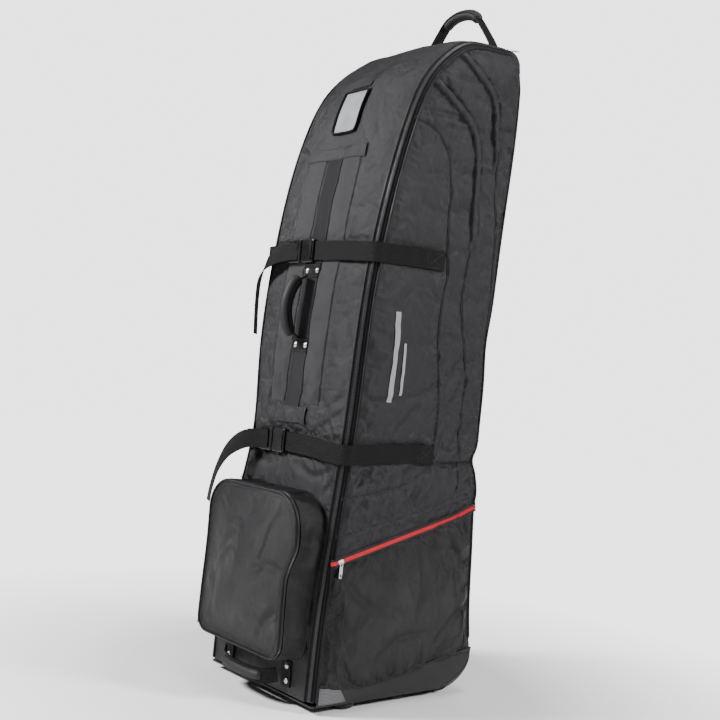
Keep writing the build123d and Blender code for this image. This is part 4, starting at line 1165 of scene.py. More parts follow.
def front_trim():
    """Centre webbing, light panels, cross band and window sewn on the front."""
    cx = (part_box("id_holder")[0].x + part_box("id_holder")[1].x) / 2
    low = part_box("centre_webbing_lower")[0].z
    band_lo, band_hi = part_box("hood_trim")[1].z - 0.030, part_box("hood_trim")[1].z - 0.003
    s = np.linspace(SPINE.front(low), SPINE.front(1.075), 150)
    web = [(WEB_GREY, sheet(sewn_strip(s, cx - 0.0225, cx + 0.0225, 0.0026), 0.0018))]
    for dx in (-0.0195, 0.0195):
        path = on_front(np.full(150, cx + dx), s, 0.0026)
        _, _, ny, nz = SPINE.at(s)
        up = np.stack([0 * ny, ny, nz], -1)
        web.append((THREAD, blocks(path, up, *STITCH)))
    s_flap = np.linspace(SPINE.front(low - 0.026), SPINE.front(low + 0.006), 8)
    web.append((MAIN, sheet(sewn_strip(s_flap, cx - 0.049, cx + 0.049, 0.0040), 0.0020)))
    build("centre_webbing", web, (CASE, HOOD), ["centre_webbing_lower", "hood_trim"])

    panels = []
    for x0, x1 in ((-0.092, cx - 0.029), (cx + 0.020, cx + 0.077)):
        s = np.linspace(SPINE.front(0.565), SPINE.front(1.062), 150)
        panels.append((LIGHT, sheet(sewn_strip(s, x0, x1, 0.0012, 13), 0.0010)))
        for x in (x0 + 0.002, x1 - 0.002):
            path = on_front(np.full(150, x), s, 0.0012)
            _, _, ny, nz = SPINE.at(s)
            up = np.stack([0 * ny, ny, nz], -1)
            panels.append((THREAD, blocks(path, up, 0.0030, 0.0008, 0.0006, 0.0048)))
    build("light_panels", panels, (CASE, HOOD))

    s = np.linspace(SPINE.front(band_lo), SPINE.front(band_hi), 14)
    bulge = 0.0026 + 0.0008 * np.sin(np.linspace(0, math.pi, 14))[:, None]
    band = [(MAIN, sheet(sewn_strip(s, cx - 0.086, cx + 0.086, bulge, 40), 0.0030))]
    for edge in (s[1], s[-2]):
        path = on_front(np.linspace(cx - 0.084, cx + 0.084, 60), np.full(60, edge), 0.0030)
        up = np.tile([0.0, -1.0, 0.3], (60, 1))
        band.append((THREAD, blocks(path, up, 0.0030, 0.0008, 0.0006, 0.0048)))
    build("hood_cross_band", band, HOOD)

    lo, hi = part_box("id_holder")
    s0, s1 = SPINE.front(lo.z + 0.001), SPINE.front(hi.z - 0.001)
    s = np.linspace(s0, s1, 40)
    half = (hi.x - lo.x) / 2
    mid = []
    for lift, x_in, s_in, material, thick in (
            (0.0022, 0.001, 0.001, PIPING_AND_SEAM_SHADE, 0.0020), (0.0030, 0.0062, 0.006, FILM, 0.0008)):
        row = np.linspace(s0 + s_in, s1 - s_in, 40)
        mid.append((material, sheet(sewn_strip(row, cx - half + x_in, cx + half - x_in, lift, 20),
                                    thick)))
    corners = [(-1, 0), (1, 0), (1, 1), (-1, 1), (-1, 0), (1, 0)]
    loop = []
    for a, b in zip(corners[:-1], corners[1:]):
        for k in np.linspace(0, 1, 24, endpoint=False):
            loop.append((cx + (a[0] + (b[0] - a[0]) * k) * (half - 0.003),
                         s0 + 0.003 + (a[1] + (b[1] - a[1]) * k) * (s1 - s0 - 0.006)))
    loop = soften(np.array(loop), 1.2)[12:-12]
    path = on_front(loop[:, 0], loop[:, 1], 0.0036)
    mid.append((PIPING_AND_SEAM_SHADE, tube(path, 0.0040, 10, up=(0, -1, 0), flat=0.5)))
    s_tab = np.linspace(s1 + 0.0065, s1 + 0.0195, 6)
    mid.append((MAIN, sheet(sewn_strip(s_tab, cx - 0.030, cx + 0.030, 0.0024), 0.0018)))
    build("id_pocket", mid, HOOD, ["id_holder", "id_window"])


# ---------------------------------------------------------------- straps

def strap_path(z, rear_y, end_x, sag):
    """Path of a strap from its sewn end on the side, round the corner, to the buckle."""
    s = SPINE.front(z)
    yf = float(SPINE.at(s)[0])
    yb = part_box("upper_buckle_plug" if z > 0.7 else "lower_buckle_plug")
    front_y = (yb[0].y + yb[1].y) / 2
    side_line = np.stack([np.linspace(rear_y, yf + 0.022, 26), np.full(26, z)], -1)
    flat, _ = on_side(side_line, 0.0026)
    corner = [(SIDE + 0.0022, yf + 0.006, z), (SIDE - 0.0035, yf - 0.0052, z),
              (HALF - 0.004, yf - 0.0095, z), (HALF - 0.035, (yf - 0.011 + front_y) / 2, z)]
    run = [(x, front_y, z) for x in np.linspace(HALF - 0.06, end_x, 8)]
    path = resample(np.vstack([flat, corner, run]), 0.004)
    path = soften(path, 1.6)
    s_path = lengths(path)
    corner_s = s_path[int(np.argmax(path[:, 1] < yf))]
    path[:, 2] -= sag * bell(s_path, corner_s, 0.085)
    return path


def box_stitch(y0, y1, z0, z1):
    """Box with a cross, sewn through the strap's end."""
    corner = [(y0, z0), (y1, z0), (y1, z1), (y0, z1)]
    lines = list(zip(corner, corner[1:] + corner[:1])) + [(corner[0], corner[2]),
                                                         (corner[1], corner[3])]
    return lines


def compression_straps():
    parts = []
    for z, rear, sag in ((UPPER_Z, UPPER_END_Y, 0.005), (LOWER_Z, LOWER_END_Y, 0.008)):
        for sign, end in ((1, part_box("buckle_sockets")[1].x - 0.003), (-1, 0.080)):
            path = strap_path(z, rear, end, sag)
            up = np.tile([0.0, 0.0, 1.0], (len(path), 1))
            strap = ribbon(path, up, 0.038, 0.0017, flip=True, bow=0.0003)
            stitched = []
            for a, b in box_stitch(rear - 0.045, rear - 0.006, z - 0.015, z + 0.015):
                line = resample(np.array([a, b]), 0.003)
                p, n = on_side(line, 0.0034)
                stitched.append(blocks(p, n, 0.0028, 0.0008, 0.0009, 0.0038))
            for piece, material in [(strap, WEB)] + [(q, THREAD) for q in stitched]:
                if sign < 0:
                    piece = moved(mirror(piece), drape)
                parts.append((material, piece))
    build("compression_straps_webbing", parts, stands_for=["compression_straps"])


def upper_tail():
    """Loose end of the upper strap: along the front, over the corner, then hanging."""
    lo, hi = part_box("upper_strap_tail")
    z = hi.z - 0.019
    y = lo.y + 0.001
    points = [(-0.052, y + 0.003, z), (-0.080, y, z - 0.002), (-0.118, y - 0.003, z - 0.009),
              (-0.150, y - 0.003, z - 0.026), (-0.174, y + 0.001, z - 0.056),
              (-0.184, y + 0.006, z - 0.092), (-0.186, y + 0.009, z - 0.130),
              (-0.183, y + 0.010, z - 0.172)]
    path = curve(points, 0.004)
    s = lengths(path) / lengths(path)[-1]
    turn = smoothstep(0.15, 0.75, s)[:, None]
    across = np.array([0.0, 0.12, 1.0]) * (1 - turn) + np.array([-0.66, 0.75, 0.05]) * turn
    tangent = unit(np.gradient(path, axis=0))
    across = unit(across - (across * tangent).sum(-1, keepdims=True) * tangent)
    width = 0.037 - 0.010 * smoothstep(0.3, 0.7, s)
    parts = [(WEB, ribbon(path, across, width, 0.0017, flip=True, bow=0.0005))]
    tip = path[-8:-2]
    parts.append((THREAD, blocks(tip, unit(np.cross(across[-8:-2], tangent[-8:-2])),
                                 0.0030, 0.0008, 0.0018, 0.0045)))
    build("upper_strap_tail_webbing", parts, "upper_buckle", ["upper_strap_tail"])


def lower_tail():
    """Loose end of the lower strap: it turns, droops and narrows where it twists."""
    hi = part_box("lower_strap_tail")[1]
    y = hi.y - 0.001
    z = LOWER_Z
    points = [(-0.054, y, z), (-0.082, y - 0.006, z - 0.002), (-0.112, y - 0.020, z - 0.010),
              (-0.138, y - 0.034, z - 0.034), (-0.153, y - 0.046, z - 0.072),
              (-0.160, y - 0.052, z - 0.112), (-0.163, y - 0.054, z - 0.142)]
    path = curve(points, 0.004)
    s = lengths(path) / lengths(path)[-1]
    lean = 1.45 * smoothstep(0.12, 0.80, s)
    across = np.stack([-np.sin(lean) * 0.93, np.sin(lean) * 0.36, np.cos(lean)], -1)
    tangent = unit(np.gradient(path, axis=0))
    across = unit(across - (across * tangent).sum(-1, keepdims=True) * tangent)
    width = 0.037 - 0.012 * smoothstep(0.25, 0.9, s)
    build("lower_strap_tail_webbing", [(WEB, ribbon(path, across, width, 0.0017, flip=True,
                                                    bow=0.0006))],
          "lower_buckle", ["lower_strap_tail"])


# ---------------------------------------------------------------- side pockets

ZIP_A = np.array([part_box("side_pocket_zips")[0].y + 0.0016, 0.278])
ZIP_B = np.array([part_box("side_pocket_zips")[1].y - 0.0016, 0.380])


def zip_line(offset=0.0, trim=(0.0, 0.0)):
    """The slanting pocket zip as (Y, Z); it lifts a little towards the rear."""
    along = unit(ZIP_B - ZIP_A)
    side = np.array([-along[1], along[0]])
    t = np.linspace(trim[0], 1 - trim[1], 120)[:, None]
    line = ZIP_A + (ZIP_B - ZIP_A) * t
    lift = 0.006 * smoothstep(0.80, 1.02, t)
    return line + side * (offset + lift)


def side_pocket_grid():
    rows, columns = ((96, 150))
    y = np.linspace(-0.1655, 0.2215, columns)
    top_line = zip_line(-0.0052)
    top = np.interp(y, top_line[:, 0], top_line[:, 1])
    zr = np.linspace(0.10, 0.40, 60)
    y_rear = np.array([float(SPINE.at(SPINE.rear(v))[0]) for v in zr]) - 0.009
    t = np.linspace(0, 1, rows)[:, None]
    base = scuff_top(y) - 0.006
    z = base + (top - base) * t
    limit = np.interp(z, zr, y_rear)
    yy = y[0] + (y[None] - y[0]) * (limit - y[0]) / (y[-1] - y[0])
    side_x = np.interp(z, [0.0, 0.3, 0.4], [0.0, 0.0, 0.001])
    edge = np.minimum(np.minimum(yy - y[0], limit - yy), 0.03) / 0.03
    x = SIDE + 0.0028 + side_x + 0.0075 * np.sin(math.pi * np.clip(t, 0, 1)) ** 0.8 * edge
    x = x - 0.0042 * (1 - smoothstep(0.0, 0.014, yy - y[0])) - 0.005 * (
        1 - smoothstep(0.0, 0.016, limit - yy))
    P = np.stack([x, yy, z], -1)
    P[..., 0] += 0.0014 * waves(P[..., 1:] * [1.0, 0.6], 0.13, 21) * edge
    pin = np.maximum(smoothstep(0.006, 0.002, np.minimum(yy - y[0], limit - yy)),
                     smoothstep(0.006, 0.002, np.minimum(z - base, top - z)))
    P = simulate(P, pin, pressure=2.6, slack=0.048, frames=22, cap=0.010, bend=0.55)
    P = refine(P)
    yz = P[..., 1:]
    lift = 0 * P[..., 0]
    folds = [([(-160, 262), (-80, 200), (-20, 190)], -2.6, 9),
             ([(-150, 120), (-60, 190), (20, 300)], 2.0, 12),
             ([(40, 330), (60, 240), (50, 160)], -2.2, 10),
             ([(120, 350), (150, 250), (170, 150)], -2.4, 10),
             ([(-164, 200), (-120, 150), (-110, 90)], -2.4, 10),
             ([(200, 330), (140, 280), (110, 200)], 1.8, 11),
             ([(-60, 80), (0, 130), (90, 140)], -2.0, 9), ([(210, 200), (150, 160), (100, 100)], -2.2, 9)]
    for points, depth, wide in folds:
        lift = lift + line_dip(yz, points, 1.5 * depth, wide, 0.03)
    P[..., 0] += lift
    return P


def side_pockets():
    P = side_pocket_grid()
    top = resample(P[-1], 0.004)
    flap = [(POCKET, sheet(P, 0.0016))]
    hem = top + np.array([0.0006, 0, -0.004])
    flap.append((THREAD, blocks(hem, np.tile([1.0, 0, 0], (len(hem), 1)), 0.003, 0.0008, 0.0008,
                                0.0048)))
    left = [(m, moved(mirror(g), drape)) for m, g in flap]
    build("side_pocket_fabric", flap + left, stands_for=["side_pocket_panels"])
    zips = []
    for lo, hi, material in ((-0.0042, 0.0042, TAPE_RED), (0.0042, 0.0085, PIPING_AND_SEAM_SHADE),
                             (-0.0085, -0.0042, PIPING_AND_SEAM_SHADE)):
        cells = []
        for k in np.linspace(0, 1, 4):
            line = zip_line(lo + (hi - lo) * k)
            x = SIDE + 0.0034 + 0.0006 * math.sin(math.pi * k) * np.ones(len(line))
            if material is PIPING_AND_SEAM_SHADE:
                x = x + 0.0011
            x = x - 0.0034 * (1 - smoothstep(-0.167, -0.156, line[:, 0]))
            x = x - 0.0030 * smoothstep(0.195, 0.212, line[:, 0])
            cells.append(np.column_stack([x, line]))
        zips.append((material, sheet(np.stack(cells, 0)[::1], 0.0014)))
    line = zip_line(0.0)
    path = np.column_stack([np.full(len(line), SIDE + 0.0040), line])
    zips.append((COIL_RED, blocks(path, np.tile([1.0, 0, 0], (len(line), 1)),
                                  0.0013, 0.0034, 0.0010, 0.0022)))
    left = [(m, mirror(g)) for m, g in zips]
    build("side_pocket_red_zips", zips + left, stands_for=["side_pocket_zips"])


# ---------------------------------------------------------------- shoe pocket

P_LOW, P_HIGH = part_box("shoe_pocket_cover")
P_HALF = P_HIGH.x
P_Z0, P_Z1 = P_LOW.z, P_HIGH.z
P_FRONT = P_LOW.y


def pocket_rim(grow=0.0, count=240, amount=1.0):
    """The pocket's rounded outline as (X, Z), running from the bottom left upwards."""
    corners = [(-1, 1, 0.062), (1, 1, 0.062), (1, 0, 0.030), (-1, 0, 0.030)]
    half, z0, z1 = P_HALF + grow, P_Z0 - grow, P_Z1 + grow
    points = [(-half, z0 + 0.04), (-half, (z0 + z1) / 2)]
    start = {(-1, 1): 180, (1, 1): 90, (1, 0): 0, (-1, 0): 270}
    for sx, top, r in corners:
        cx = sx * (half - r)
        cz = z1 - r if top else z0 + r
        for k in range(9):
            a = math.radians(start[(sx, top)] - 90 * k / 8)
            points.append((cx + r * math.cos(a), cz + r * math.sin(a)))
        if (sx, top) == (1, 1):
            points.append((half, (z0 + z1) / 2))
    points.append(points[0])
    p = resample(np.array(points), lengths(np.array(points))[-1] / count)
    p[:, 0] = pocket_pinch(p[:, 0], p[:, 1], amount)
    return p


def pocket_pinch(x, z, amount=1.0):
    """The soft pocket slumps: its right edge draws in from mid height down."""
    right = smoothstep(-0.02, P_HALF, x)
    left = smoothstep(-0.05, -P_HALF, x)
    drawn = 0.021 * smoothstep(0.315, 0.235, z) - 0.004 * bell(z, 0.13, 0.05)
    return x - amount * (right * (drawn - 0.004 * bell(z, 0.31, 0.03))
                         - 0.004 * left * bell(z, 0.27, 0.08))


def face_grid(step, grow):
    """Even grid over the pocket's rounded outline, with finer rows in its corners."""
    half, z0, z1 = P_HALF + grow, P_Z0 - grow, P_Z1 + grow
    low, high = 0.030 + grow, 0.062 + grow
    a = np.linspace(0, math.pi / 2, int(high * 1.57 / step))
    b = np.linspace(math.pi / 2, 0, int(low * 1.57 / step) + 1)
    middle = np.arange(z0 + low, z1 - high, step)[1:]
    z = np.concatenate([z0 + low - low * np.sin(b), middle, z1 - high + high * np.sin(a)])
    inset = np.concatenate([low - low * np.cos(b), 0 * middle, high - high * np.cos(a)])
    u = np.linspace(-1, 1, int(2 * half / step))
    x = u[None] * (half - inset)[:, None]
    zz = np.broadcast_to(z[:, None], x.shape)
    side = np.minimum((half - inset)[:, None] - np.abs(x), 0.2)
    rim = np.minimum(side, np.minimum(zz - z0, z1 - zz))
    return pocket_pinch(x, zz), zz, rim


def pocket_cover():
    x, z, rim = face_grid(0.0045, -0.0015)
    dome = smoothstep(-0.01, 0.085, rim)
    slump = 0.35 + 0.65 * bell(z, 0.19, 0.13)
    y = P_FRONT + 0.0042 - 0.011 * dome * slump - 0.003 * dome
    P = np.stack([x, y, z], -1)
    P[..., 1] += 0.0022 * waves(np.stack([x, z * 0.7], -1), 0.15, 31) * np.clip(dome * 2, 0, 1)
    pin = smoothstep(0.007, 0.002, rim)
    P = simulate(P, pin, pressure=2.0, slack=0.050, frames=22, cap=0.010, bend=0.55)
    P = refine(P)
    x, z = P[..., 0], P[..., 2]
    xz = np.stack([x, z], -1)
    folds = [([(-100, 372), (-40, 330), (10, 318)], -2.0, 8), ([(96, 376), (60, 320), (40, 250)], -2.4, 9),
             ([(128, 250), (80, 262), (30, 240)], -2.6, 9),
             ([(-128, 180), (-80, 240), (-30, 300)], 2.0, 11),
             ([(-110, 110), (-90, 170), (-100, 240)], -2.0, 9),
             ([(60, 110), (90, 160), (128, 190)], -2.2, 9),
             ([(-20, 110), (0, 150), (50, 170)], 1.8, 10)]
    lift = 0 * x
    for points, depth, wide in folds:
        lift = lift + line_dip(xz, points, 1.5 * depth, wide, 0.03)
    P[..., 1] -= lift
    cover = sheet(P, 0.0026)
    rim = pocket_rim(-0.0008)
    path = np.stack([rim[:, 0], np.full(len(rim), P_FRONT + 0.0030), rim[:, 1]], -1)
    cord = tube(path, 0.0024, 8, up=(0, -1, 0))
    inner = pocket_rim(-0.009)
    line = np.stack([inner[:, 0], np.full(len(inner), P_FRONT + 0.0012), inner[:, 1]], -1)
    stitch = blocks(line, np.tile([0, -1.0, 0], (len(line), 1)), 0.003, 0.0008, 0.0009, 0.0048)
    build("shoe_pocket_front", [(POCKET, cover), (PIPING_AND_SEAM_SHADE, cord), (THREAD, stitch)], "shoe_cover",
          ["shoe_pocket_cover"])


def pocket_tape(y0, y1, grow, part):
    """A band of tape round the pocket's rim, open along its hinge."""
    rim = pocket_rim(grow)
    keep = slice(part[0], len(rim) - part[1])
    rim = rim[keep]
    cells = [np.stack([rim[:, 0], np.full(len(rim), y), rim[:, 1]], -1)
             for y in np.linspace(y0, y1, 4)]
    return np.stack(cells, 1), rim


def pocket_zips():
    lo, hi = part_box("shoe_zip_cover_half")[0].y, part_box("shoe_zip_gusset_half")[1].y
    mid = (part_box("shoe_zip_cover_half")[1].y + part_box("shoe_zip_gusset_half")[0].y) / 2
    for name, y0, y1, body, node, side in (
            ("shoe_zip_moving", lo + 0.001, mid - 0.0006, "shoe_cover", "shoe_zip_cover_half", -1),
            ("shoe_zip_fixed", mid + 0.0006, hi - 0.0005, CASE, "shoe_zip_gusset_half", 1)):
        P, rim = pocket_tape(y0, y1, 0.0002, (2, 30))
        y_teeth = mid + side * 0.0009
        path = np.stack([rim[:, 0], np.full(len(rim), y_teeth), rim[:, 1]], -1)
        tangent = unit(np.gradient(path, axis=0))
        up = np.stack([-tangent[:, 2], 0 * tangent[:, 0], tangent[:, 0]], -1)
        parts = [(TAPE, sheet(P, 0.0012, flip=True)),
                 (COIL, blocks(path, up, 0.0014, 0.0024, 0.0014, 0.0026))]
        build(name, parts, body, [node])


def pocket_gusset():
    """Soft side wall of the pocket, from the case's front to the zip."""
    near, plain = pocket_rim(0.0), pocket_rim(0.0, amount=0.15)
    y1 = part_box("shoe_zip_gusset_half")[1].y + 0.0006
    depth = np.linspace(0, 1, 14)
    rows = []
    for k in depth:
        rim = near * (1 - k) + plain * k
        y_front = []
        for x, z in rim:
            s = SPINE.front(max(z, 0.02))
            y_front.append(float(on_spine(x, s, 0.0004)[1]))
        y = y1 + (np.array(y_front) - y1) * k
        belly = 0.0045 * math.sin(math.pi * k) * waves(np.stack([rim[:, 0], rim[:, 1]], -1), 0.09, 41)
        sag = 0.0035 * math.sin(math.pi * k)
        centre = np.array([0.0, (P_Z0 + P_Z1) / 2])
        out = unit(rim - centre)
        ring = rim + out * (belly - sag)[:, None]
        rows.append(np.stack([ring[:, 0], y, ring[:, 1]], -1))
    P = np.stack(rows, 0)
    parts = [(POCKET, sheet(P, 0.0022, flip=True))]
    seam = P[-1] * 1.0
    seam[:, 1] -= 0.0016
    parts.append((PIPING_AND_SEAM_SHADE, tube(seam, 0.0022, 8, up=(0, -1, 0))))
    edge = P[1]
    parts.append((PIPING_AND_SEAM_SHADE, tube(edge, 0.0019, 8, up=(0, -1, 0))))
    build("shoe_pocket_wall", parts, stands_for=["shoe_pocket_gusset"])


# ---------------------------------------------------------------- handles

def grip_bar(path, radius, seam_up):
    """A padded grip with pinched ends, a lengthwise seam and finger ridges."""
    s = lengths(path) / lengths(path)[-1]
    ends = np.clip(np.minimum(s, 1 - s) / 0.07, 0, 1) ** 0.45
    ridge = 1 + 0.025 * np.sin(s * 2 * math.pi * 16) * (ends > 0.98)
    body = tube(path, radius * (0.55 + 0.45 * ends) * ridge, 22, up=seam_up)
    a = rings(path, seam_up)[1]
    inside = slice(3, -3)
    seam = path[inside] + a[inside] * radius * 1.0
    stitch = blocks(seam, a[inside], 0.0032, 0.0009, 0.0008, 0.0048)
    return body, stitch


def centreline(node, axis, steps):
    """Middle points of a bar's mesh, taken slice by slice along one axis."""
    p = node_points(node)
    lo, hi = p[:, axis].min(), p[:, axis].max()
    centres = []
    for k in range(steps):
        a = lo + (hi - lo) * k / steps
        b = lo + (hi - lo) * (k + 1) / steps
        part = p[(p[:, axis] >= a - 1e-6) & (p[:, axis] <= b + 1e-6)]
        if len(part) > 3:
            centres.append((part.min(0) + part.max(0)) / 2)
    return np.array(centres)


def top_handle():
    lo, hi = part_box("top_handle")
    y, top = (lo.y + hi.y) / 2, hi.z - 0.0115
    foot = hi.x + 0.003
    half = [(foot + 0.010, 1.350), (foot - 0.004, 1.374), (foot * 0.71, 1.4065),
            (foot * 0.45, top - 0.013), (foot * 0.24, top - 0.0025)]
    points = [(-x, y + 0.001, z) for x, z in half] + [(0, y, top)]
    points += [(x, y + 0.001, z) for x, z in half[::-1]]
    path = curve(points, 0.003)
    s = lengths(path) / lengths(path)[-1]
    tangent = unit(np.gradient(path, axis=0))
    across = np.tile([0.0, 1.0, 0.0], (len(path), 1))
    across = unit(across - (across * tangent).sum(-1, keepdims=True) * tangent)
    parts = [(WEB, ribbon(path, across, 0.027, 0.0030, flip=False, bow=0.0008))]
    grip_path = path[(s > 0.315) & (s < 0.685)] - np.array([0, 0, 0.001])
    body, stitch = grip_bar(grip_path, 0.0118, (0, 1, 0))
    parts += [(GRIP, body), (THREAD, stitch)]
    for sign in (-1, 1):
        for off in (-0.010, 0.010):
            leg = path[(s < 0.30)] if sign < 0 else path[(s > 0.70)]
            nrm = unit(np.cross(leg * 0 + [0, 1.0, 0], unit(np.gradient(leg, axis=0))))
            parts.append((THREAD, blocks(leg + [0, off, 0] - nrm * 0.0002, -nrm, 0.003, 0.0008,
                                         0.0022, 0.0048)))
    build("top_handle_webbing", parts, "top_handle", ["top_handle"])


def front_handle():
    path = centreline("front_handle", 2, 26)
    path = soften(resample(path, 0.004), 2.5)
    chord = path[0] + (path[-1] - path[0]) * np.linspace(0, 1, len(path))[:, None]
    path = chord + (path - chord) * [0.72, 0.90, 1.0]
    s = lengths(path) / lengths(path)[-1]
    body, stitch = grip_bar(path[(s > 0.08) & (s < 0.92)], 0.0125, (-1, 0, 0))
    tangent = unit(np.gradient(path, axis=0))
    out = np.array([path[len(path) // 2][0] - path[0][0], path[len(path) // 2][1] - path[0][1], 0])
    across = unit(np.cross(tangent, np.tile(unit(out), (len(path), 1))))
    parts = [(GRIP, body), (THREAD, stitch),
             (WEB, ribbon(path, across, 0.026, 0.003, flip=False, bow=0.0006))]
    build("front_handle_grip", parts, "front_handle", ["front_handle"])


def base_handle():
    path = centreline("base_handle", 0, 30)
    path = soften(resample(path, 0.004), 2.0)
    s = lengths(path) / lengths(path)[-1]
    body, stitch = grip_bar(path[(s > 0.15) & (s < 0.85)], 0.0100, (0, 0, 1))
    tangent = unit(np.gradient(path, axis=0))
    across = np.tile([0.0, 0.0, 1.0], (len(path), 1))
    across = unit(across - (across * tangent).sum(-1, keepdims=True) * tangent)
    parts = [(GRIP, body), (THREAD, stitch),
             (WEB, ribbon(path, across, 0.028, 0.003, flip=False, bow=0.0006))]
    build("base_handle_grip", parts, "base_handle", ["base_handle"])


def rivet(x, s, lift, radius=0.0058, height=0.0026):
    """A domed rivet head with a small rolled rim, seated on the front fabric."""
    seat = on_front(x, s, lift)
    out = unit(on_front(x, s, lift + 0.01) - seat)
    steps = [(1.0, -0.2), (1.0, 0.10), (0.94, 0.24), (0.82, 0.30), (0.74, 0.48), (0.5, 0.82),
             (0.22, 0.98), (0.02, 1.0)]
    path = seat[None] + out[None] * (np.array([k for _, k in steps]) * height)[:, None]
    return tube(path, np.array([r for r, _ in steps]) * radius, 20, up=(1, 0, 0))


def anchors():
    """Sewn and riveted webbing patches that hold the three handles."""
    parts = []
    x = (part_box("id_window")[0].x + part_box("id_window")[1].x) / 2
    low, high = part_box("front_handle")[0].z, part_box("front_handle")[1].z
    heads = []
    for z in (low - 0.008, high + 0.008):
        s = np.linspace(SPINE.front(z - 0.015), SPINE.front(z + 0.015), 10)
        parts.append((WEB, sheet(sewn_strip(s, x - 0.023, x + 0.023, 0.0034, 14), 0.0030)))
        middle = SPINE.front(z)
        heads += [rivet(x + dx, middle, 0.0034) for dx in (-0.0155, 0.0155)]
        for edge in (s[1], s[-2]):
            row = np.linspace(x - 0.021, x + 0.021, 24)
            path = on_front(row, np.full(24, edge), 0.0036)
            parts.append((THREAD, blocks(path, np.tile([0, -1.0, 0], (24, 1)), 0.003, 0.0008,
                                         0.0008, 0.0046)))
    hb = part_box("base_handle")
    for sign in (-1, 1):
        cx = sign * (hb[1].x + 0.006)
        s = np.linspace(SPINE.front(0.036), SPINE.front(0.084), 12)
        parts.append((WEB, sheet(sewn_strip(s, cx - 0.014, cx + 0.014, 0.0034, 8), 0.0030)))
        heads += [rivet(cx + sign * 0.002, SPINE.front(z), 0.0034) for z in (0.046, 0.074)]
        s_top = np.linspace(SPINE.top - 0.014, SPINE.top + 0.013, 10)
        fx = sign * (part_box("top_handle")[1].x + 0.011)
        parts.append((WEB, sheet(spine_strip(s_top, fx - 0.017, fx + 0.017, 0.0042, 10), 0.0040)))
        edge = np.linspace(fx - 0.015, fx + 0.015, 16)
        for s_at in (s_top[1], s_top[-2]):
            path = drape(on_spine(edge, np.full(16, s_at), 0.0044))
            parts.append((THREAD, blocks(path, np.tile([0, 0, 1.0], (16, 1)), 0.003, 0.0008,
                                         0.0008, 0.0046)))
    build("handle_anchor_webbing", parts, stands_for=["handle_anchors"])
    build("handle_rivet_domes", [(NICKEL, head) for head in heads],
          stands_for=["handle_rivets"])


# ---------------------------------------------------------------- inside

def linings():
    """Quilted foam linings inside the case and hood, and the bag straps on the back wall."""
    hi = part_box("foam_sheets")[1]
    rows, columns = 60, 26
    i = np.linspace(0, 1, rows)
    s_f = SPINE.front(0.115) + (SPINE.front(1.31) - SPINE.front(0.115)) * i
    s_r = SPINE.rear(0.115) + (SPINE.rear(1.29) - SPINE.rear(0.115)) * i
    yf, zf, nyf, nzf = SPINE.at(s_f)
    yr, zr, nyr, nzr = SPINE.at(s_r)
    a = np.stack([yf - nyf * 0.018, zf - nzf * 0.018], -1)
    b = np.stack([yr - nyr * 0.018, zr - nzr * 0.018], -1)
    t = np.linspace(0, 1, columns)[None, :, None]
    yz = a[:, None] * (1 - t) + b[:, None] * t
    x = np.full(yz.shape[:2], hi.x - 0.0085)
    side = np.concatenate([x[..., None], yz], -1)
    right = sheet(side, 0.0015, flip=True)
    parts = [(LINING, right), (LINING, moved(mirror(right), drape))]
    s = np.linspace(SPINE.front(0.04), SPINE.front(FOLD - 0.022), 60)
    front = drape(on_spine(np.linspace(-0.147, 0.147, 24)[None], s[:, None], -0.0085))
    parts.append((LINING, sheet(front, 0.0045)))
    s = np.linspace(SPINE.rear(1.285), SPINE.rear(0.335), 60)
    back = drape(on_spine(np.linspace(-0.149, 0.149, 24)[None], s[:, None], -0.0075))
    parts.append((LINING, sheet(back, 0.0045)))
    build("quilted_linings", parts, stands_for=["foam_sheets"])
    s = np.linspace(SPINE.front(1.095), S_HOOD_END - 0.010, 50)
    pad = drape(on_spine(np.linspace(-0.145, 0.145, 24)[None], s[:, None], -0.0070))
    build("hood_pad", [(LINING, sheet(pad, 0.010))], HOOD, ["hood_foam"])

    straps = []
    p = node_points("inside_straps")
    for z in (p[:, 2].min() + 0.019, p[:, 2].max() - 0.019):
        y = float(SPINE.at(SPINE.rear(z))[0]) - 0.0158
        xs = np.linspace(-0.110, 0.110, 60)
        path = np.stack([xs, y + 0 * xs - 0.002 * np.cos(xs / 0.11 * math.pi / 2), z + 0 * xs], -1)
        up = np.tile([0, 0, 1.0], (60, 1))
        straps.append((WEB, ribbon(path, up, 0.038, 0.0016, bow=0.0004)))
    build("inside_strap_webbing", straps, stands_for=["inside_straps"])


# ---------------------------------------------------------------- stage, light and camera

def studio_paper():
    """Pale paper that fades into the white backdrop away from the object."""
    s = Shader("stage_paper")
    cloud = s.noise(1.2, 2)
    s.finish(s.mix(cloud, rgb(0.90, 0.90, 0.90), rgb(0.93, 0.93, 0.93)), 0.8)
    far = s.node("ShaderNodeVectorMath", operation="LENGTH")
    s.put(far.inputs[0], s.where.outputs["Object"])
    fade = s.remap(far.outputs["Value"], 0.03, 0.085, 0.0, 1.0)
    glow = s.node("ShaderNodeEmission")
    glow.inputs["Strength"].default_value = 3.0
    blend = s.node("ShaderNodeMixShader")
    seen = s.node("ShaderNodeLightPath").outputs["Is Camera Ray"]
    s.put(blend.inputs[0], s.math("MULTIPLY", fade, seen))
    s.put(blend.inputs[1], s.bsdf.outputs[0])
    s.put(blend.inputs[2], glow.outputs[0])
    output = [n for n in s.tree.nodes if n.type == "OUTPUT_MATERIAL"][0]
    s.put(output.inputs["Surface"], blend.outputs[0])
    return s.material


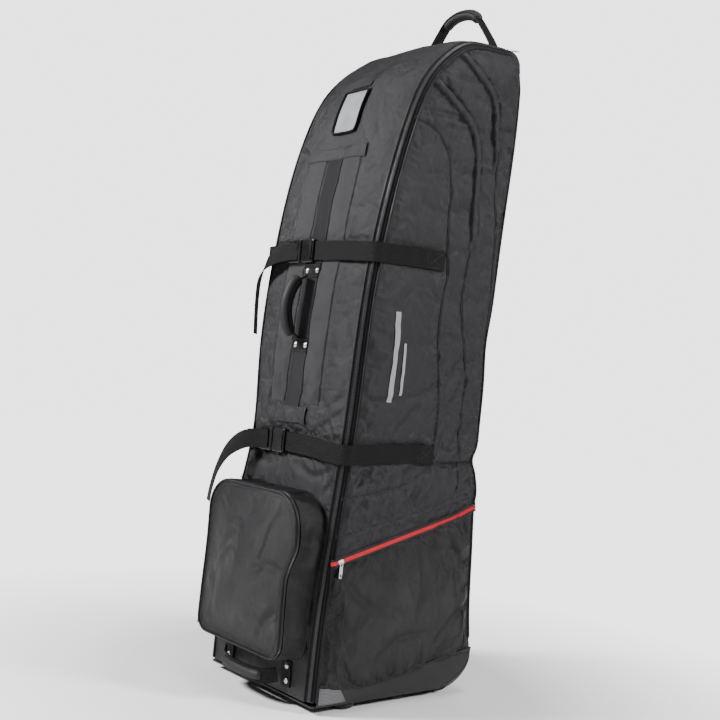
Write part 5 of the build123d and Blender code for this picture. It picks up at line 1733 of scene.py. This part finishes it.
def studio():
    bpy.ops.mesh.primitive_plane_add(size=1)
    floor = bpy.context.object
    floor.name = "stage_floor"
    floor.scale = (14, 14, 1)
    floor.location = (0, 0, -0.0004)
    floor.data.materials.append(studio_paper())
    lights = [
        ("key", (-1.5, -3.0, 2.7), (0, 0, 0.85), 1.0, 330),
        ("side", (2.9, 1.7, 2.3), (0, 0, 0.7), 0.8, 165),
        ("top", (0.4, 0.2, 3.6), (0, 0, 0.8), 1.4, 45),
        ("rear", (-2.2, 2.6, 2.2), (0, 0.1, 0.8), 1.6, 14),
    ]
    for name, place, aim, size, power in lights:
        data = bpy.data.lights.new("stage_" + name, "AREA")
        data.shape = "DISK"
        data.size = size
        data.energy = power
        lamp = bpy.data.objects.new("stage_" + name, data)
        bpy.context.scene.collection.objects.link(lamp)
        lamp.location = place
        direction = Vector(aim) - Vector(place)
        lamp.rotation_euler = direction.to_track_quat("-Z", "Y").to_euler()
    world = bpy.data.worlds.new("stage_world")
    world.use_nodes = True
    tree = world.node_tree
    seen = tree.nodes.new("ShaderNodeLightPath").outputs["Is Camera Ray"]
    power = tree.nodes.new("ShaderNodeMapRange")
    tree.links.new(seen, power.inputs[0])
    power.inputs[3].default_value = 0.07
    power.inputs[4].default_value = 3.0
    tree.nodes["Background"].inputs["Color"].default_value = rgb(0.97, 0.98, 1.0)
    tree.links.new(power.outputs[0], tree.nodes["Background"].inputs["Strength"])
    bpy.context.scene.world = world


CAMERA_PLACE = (1.6451, -1.4061, 0.6149)
CAMERA_ANGLES = (49.5, 1.3, 5.8)  # turn, pitch and roll in degrees
CAMERA_LENS = 52.05


def camera():
    turn, pitch, roll = (math.radians(v) for v in CAMERA_ANGLES)
    ahead = Vector((-math.sin(turn) * math.cos(pitch), math.cos(turn) * math.cos(pitch),
                    math.sin(pitch)))
    right = Vector((math.cos(turn), math.sin(turn), 0))
    up = right.cross(ahead)
    x = math.cos(roll) * right + math.sin(roll) * up
    y = -math.sin(roll) * right + math.cos(roll) * up
    data = bpy.data.cameras.new("stage_camera")
    data.lens = CAMERA_LENS
    data.sensor_width = 36
    data.clip_end = 60
    cam = bpy.data.objects.new("stage_camera", data)
    bpy.context.scene.collection.objects.link(cam)
    matrix = Matrix((x, y, -ahead)).transposed().to_4x4()
    matrix.translation = Vector(CAMERA_PLACE)
    cam.matrix_world = matrix
    bpy.context.scene.camera = cam


side_panels()
scuff_guards()
front_skin()
back_and_yoke()
long_zips()
front_trim()
compression_straps()
upper_tail()
lower_tail()
side_pockets()
pocket_cover()
pocket_zips()
pocket_gusset()
top_handle()
front_handle()
base_handle()
anchors()
linings()
studio()
camera()
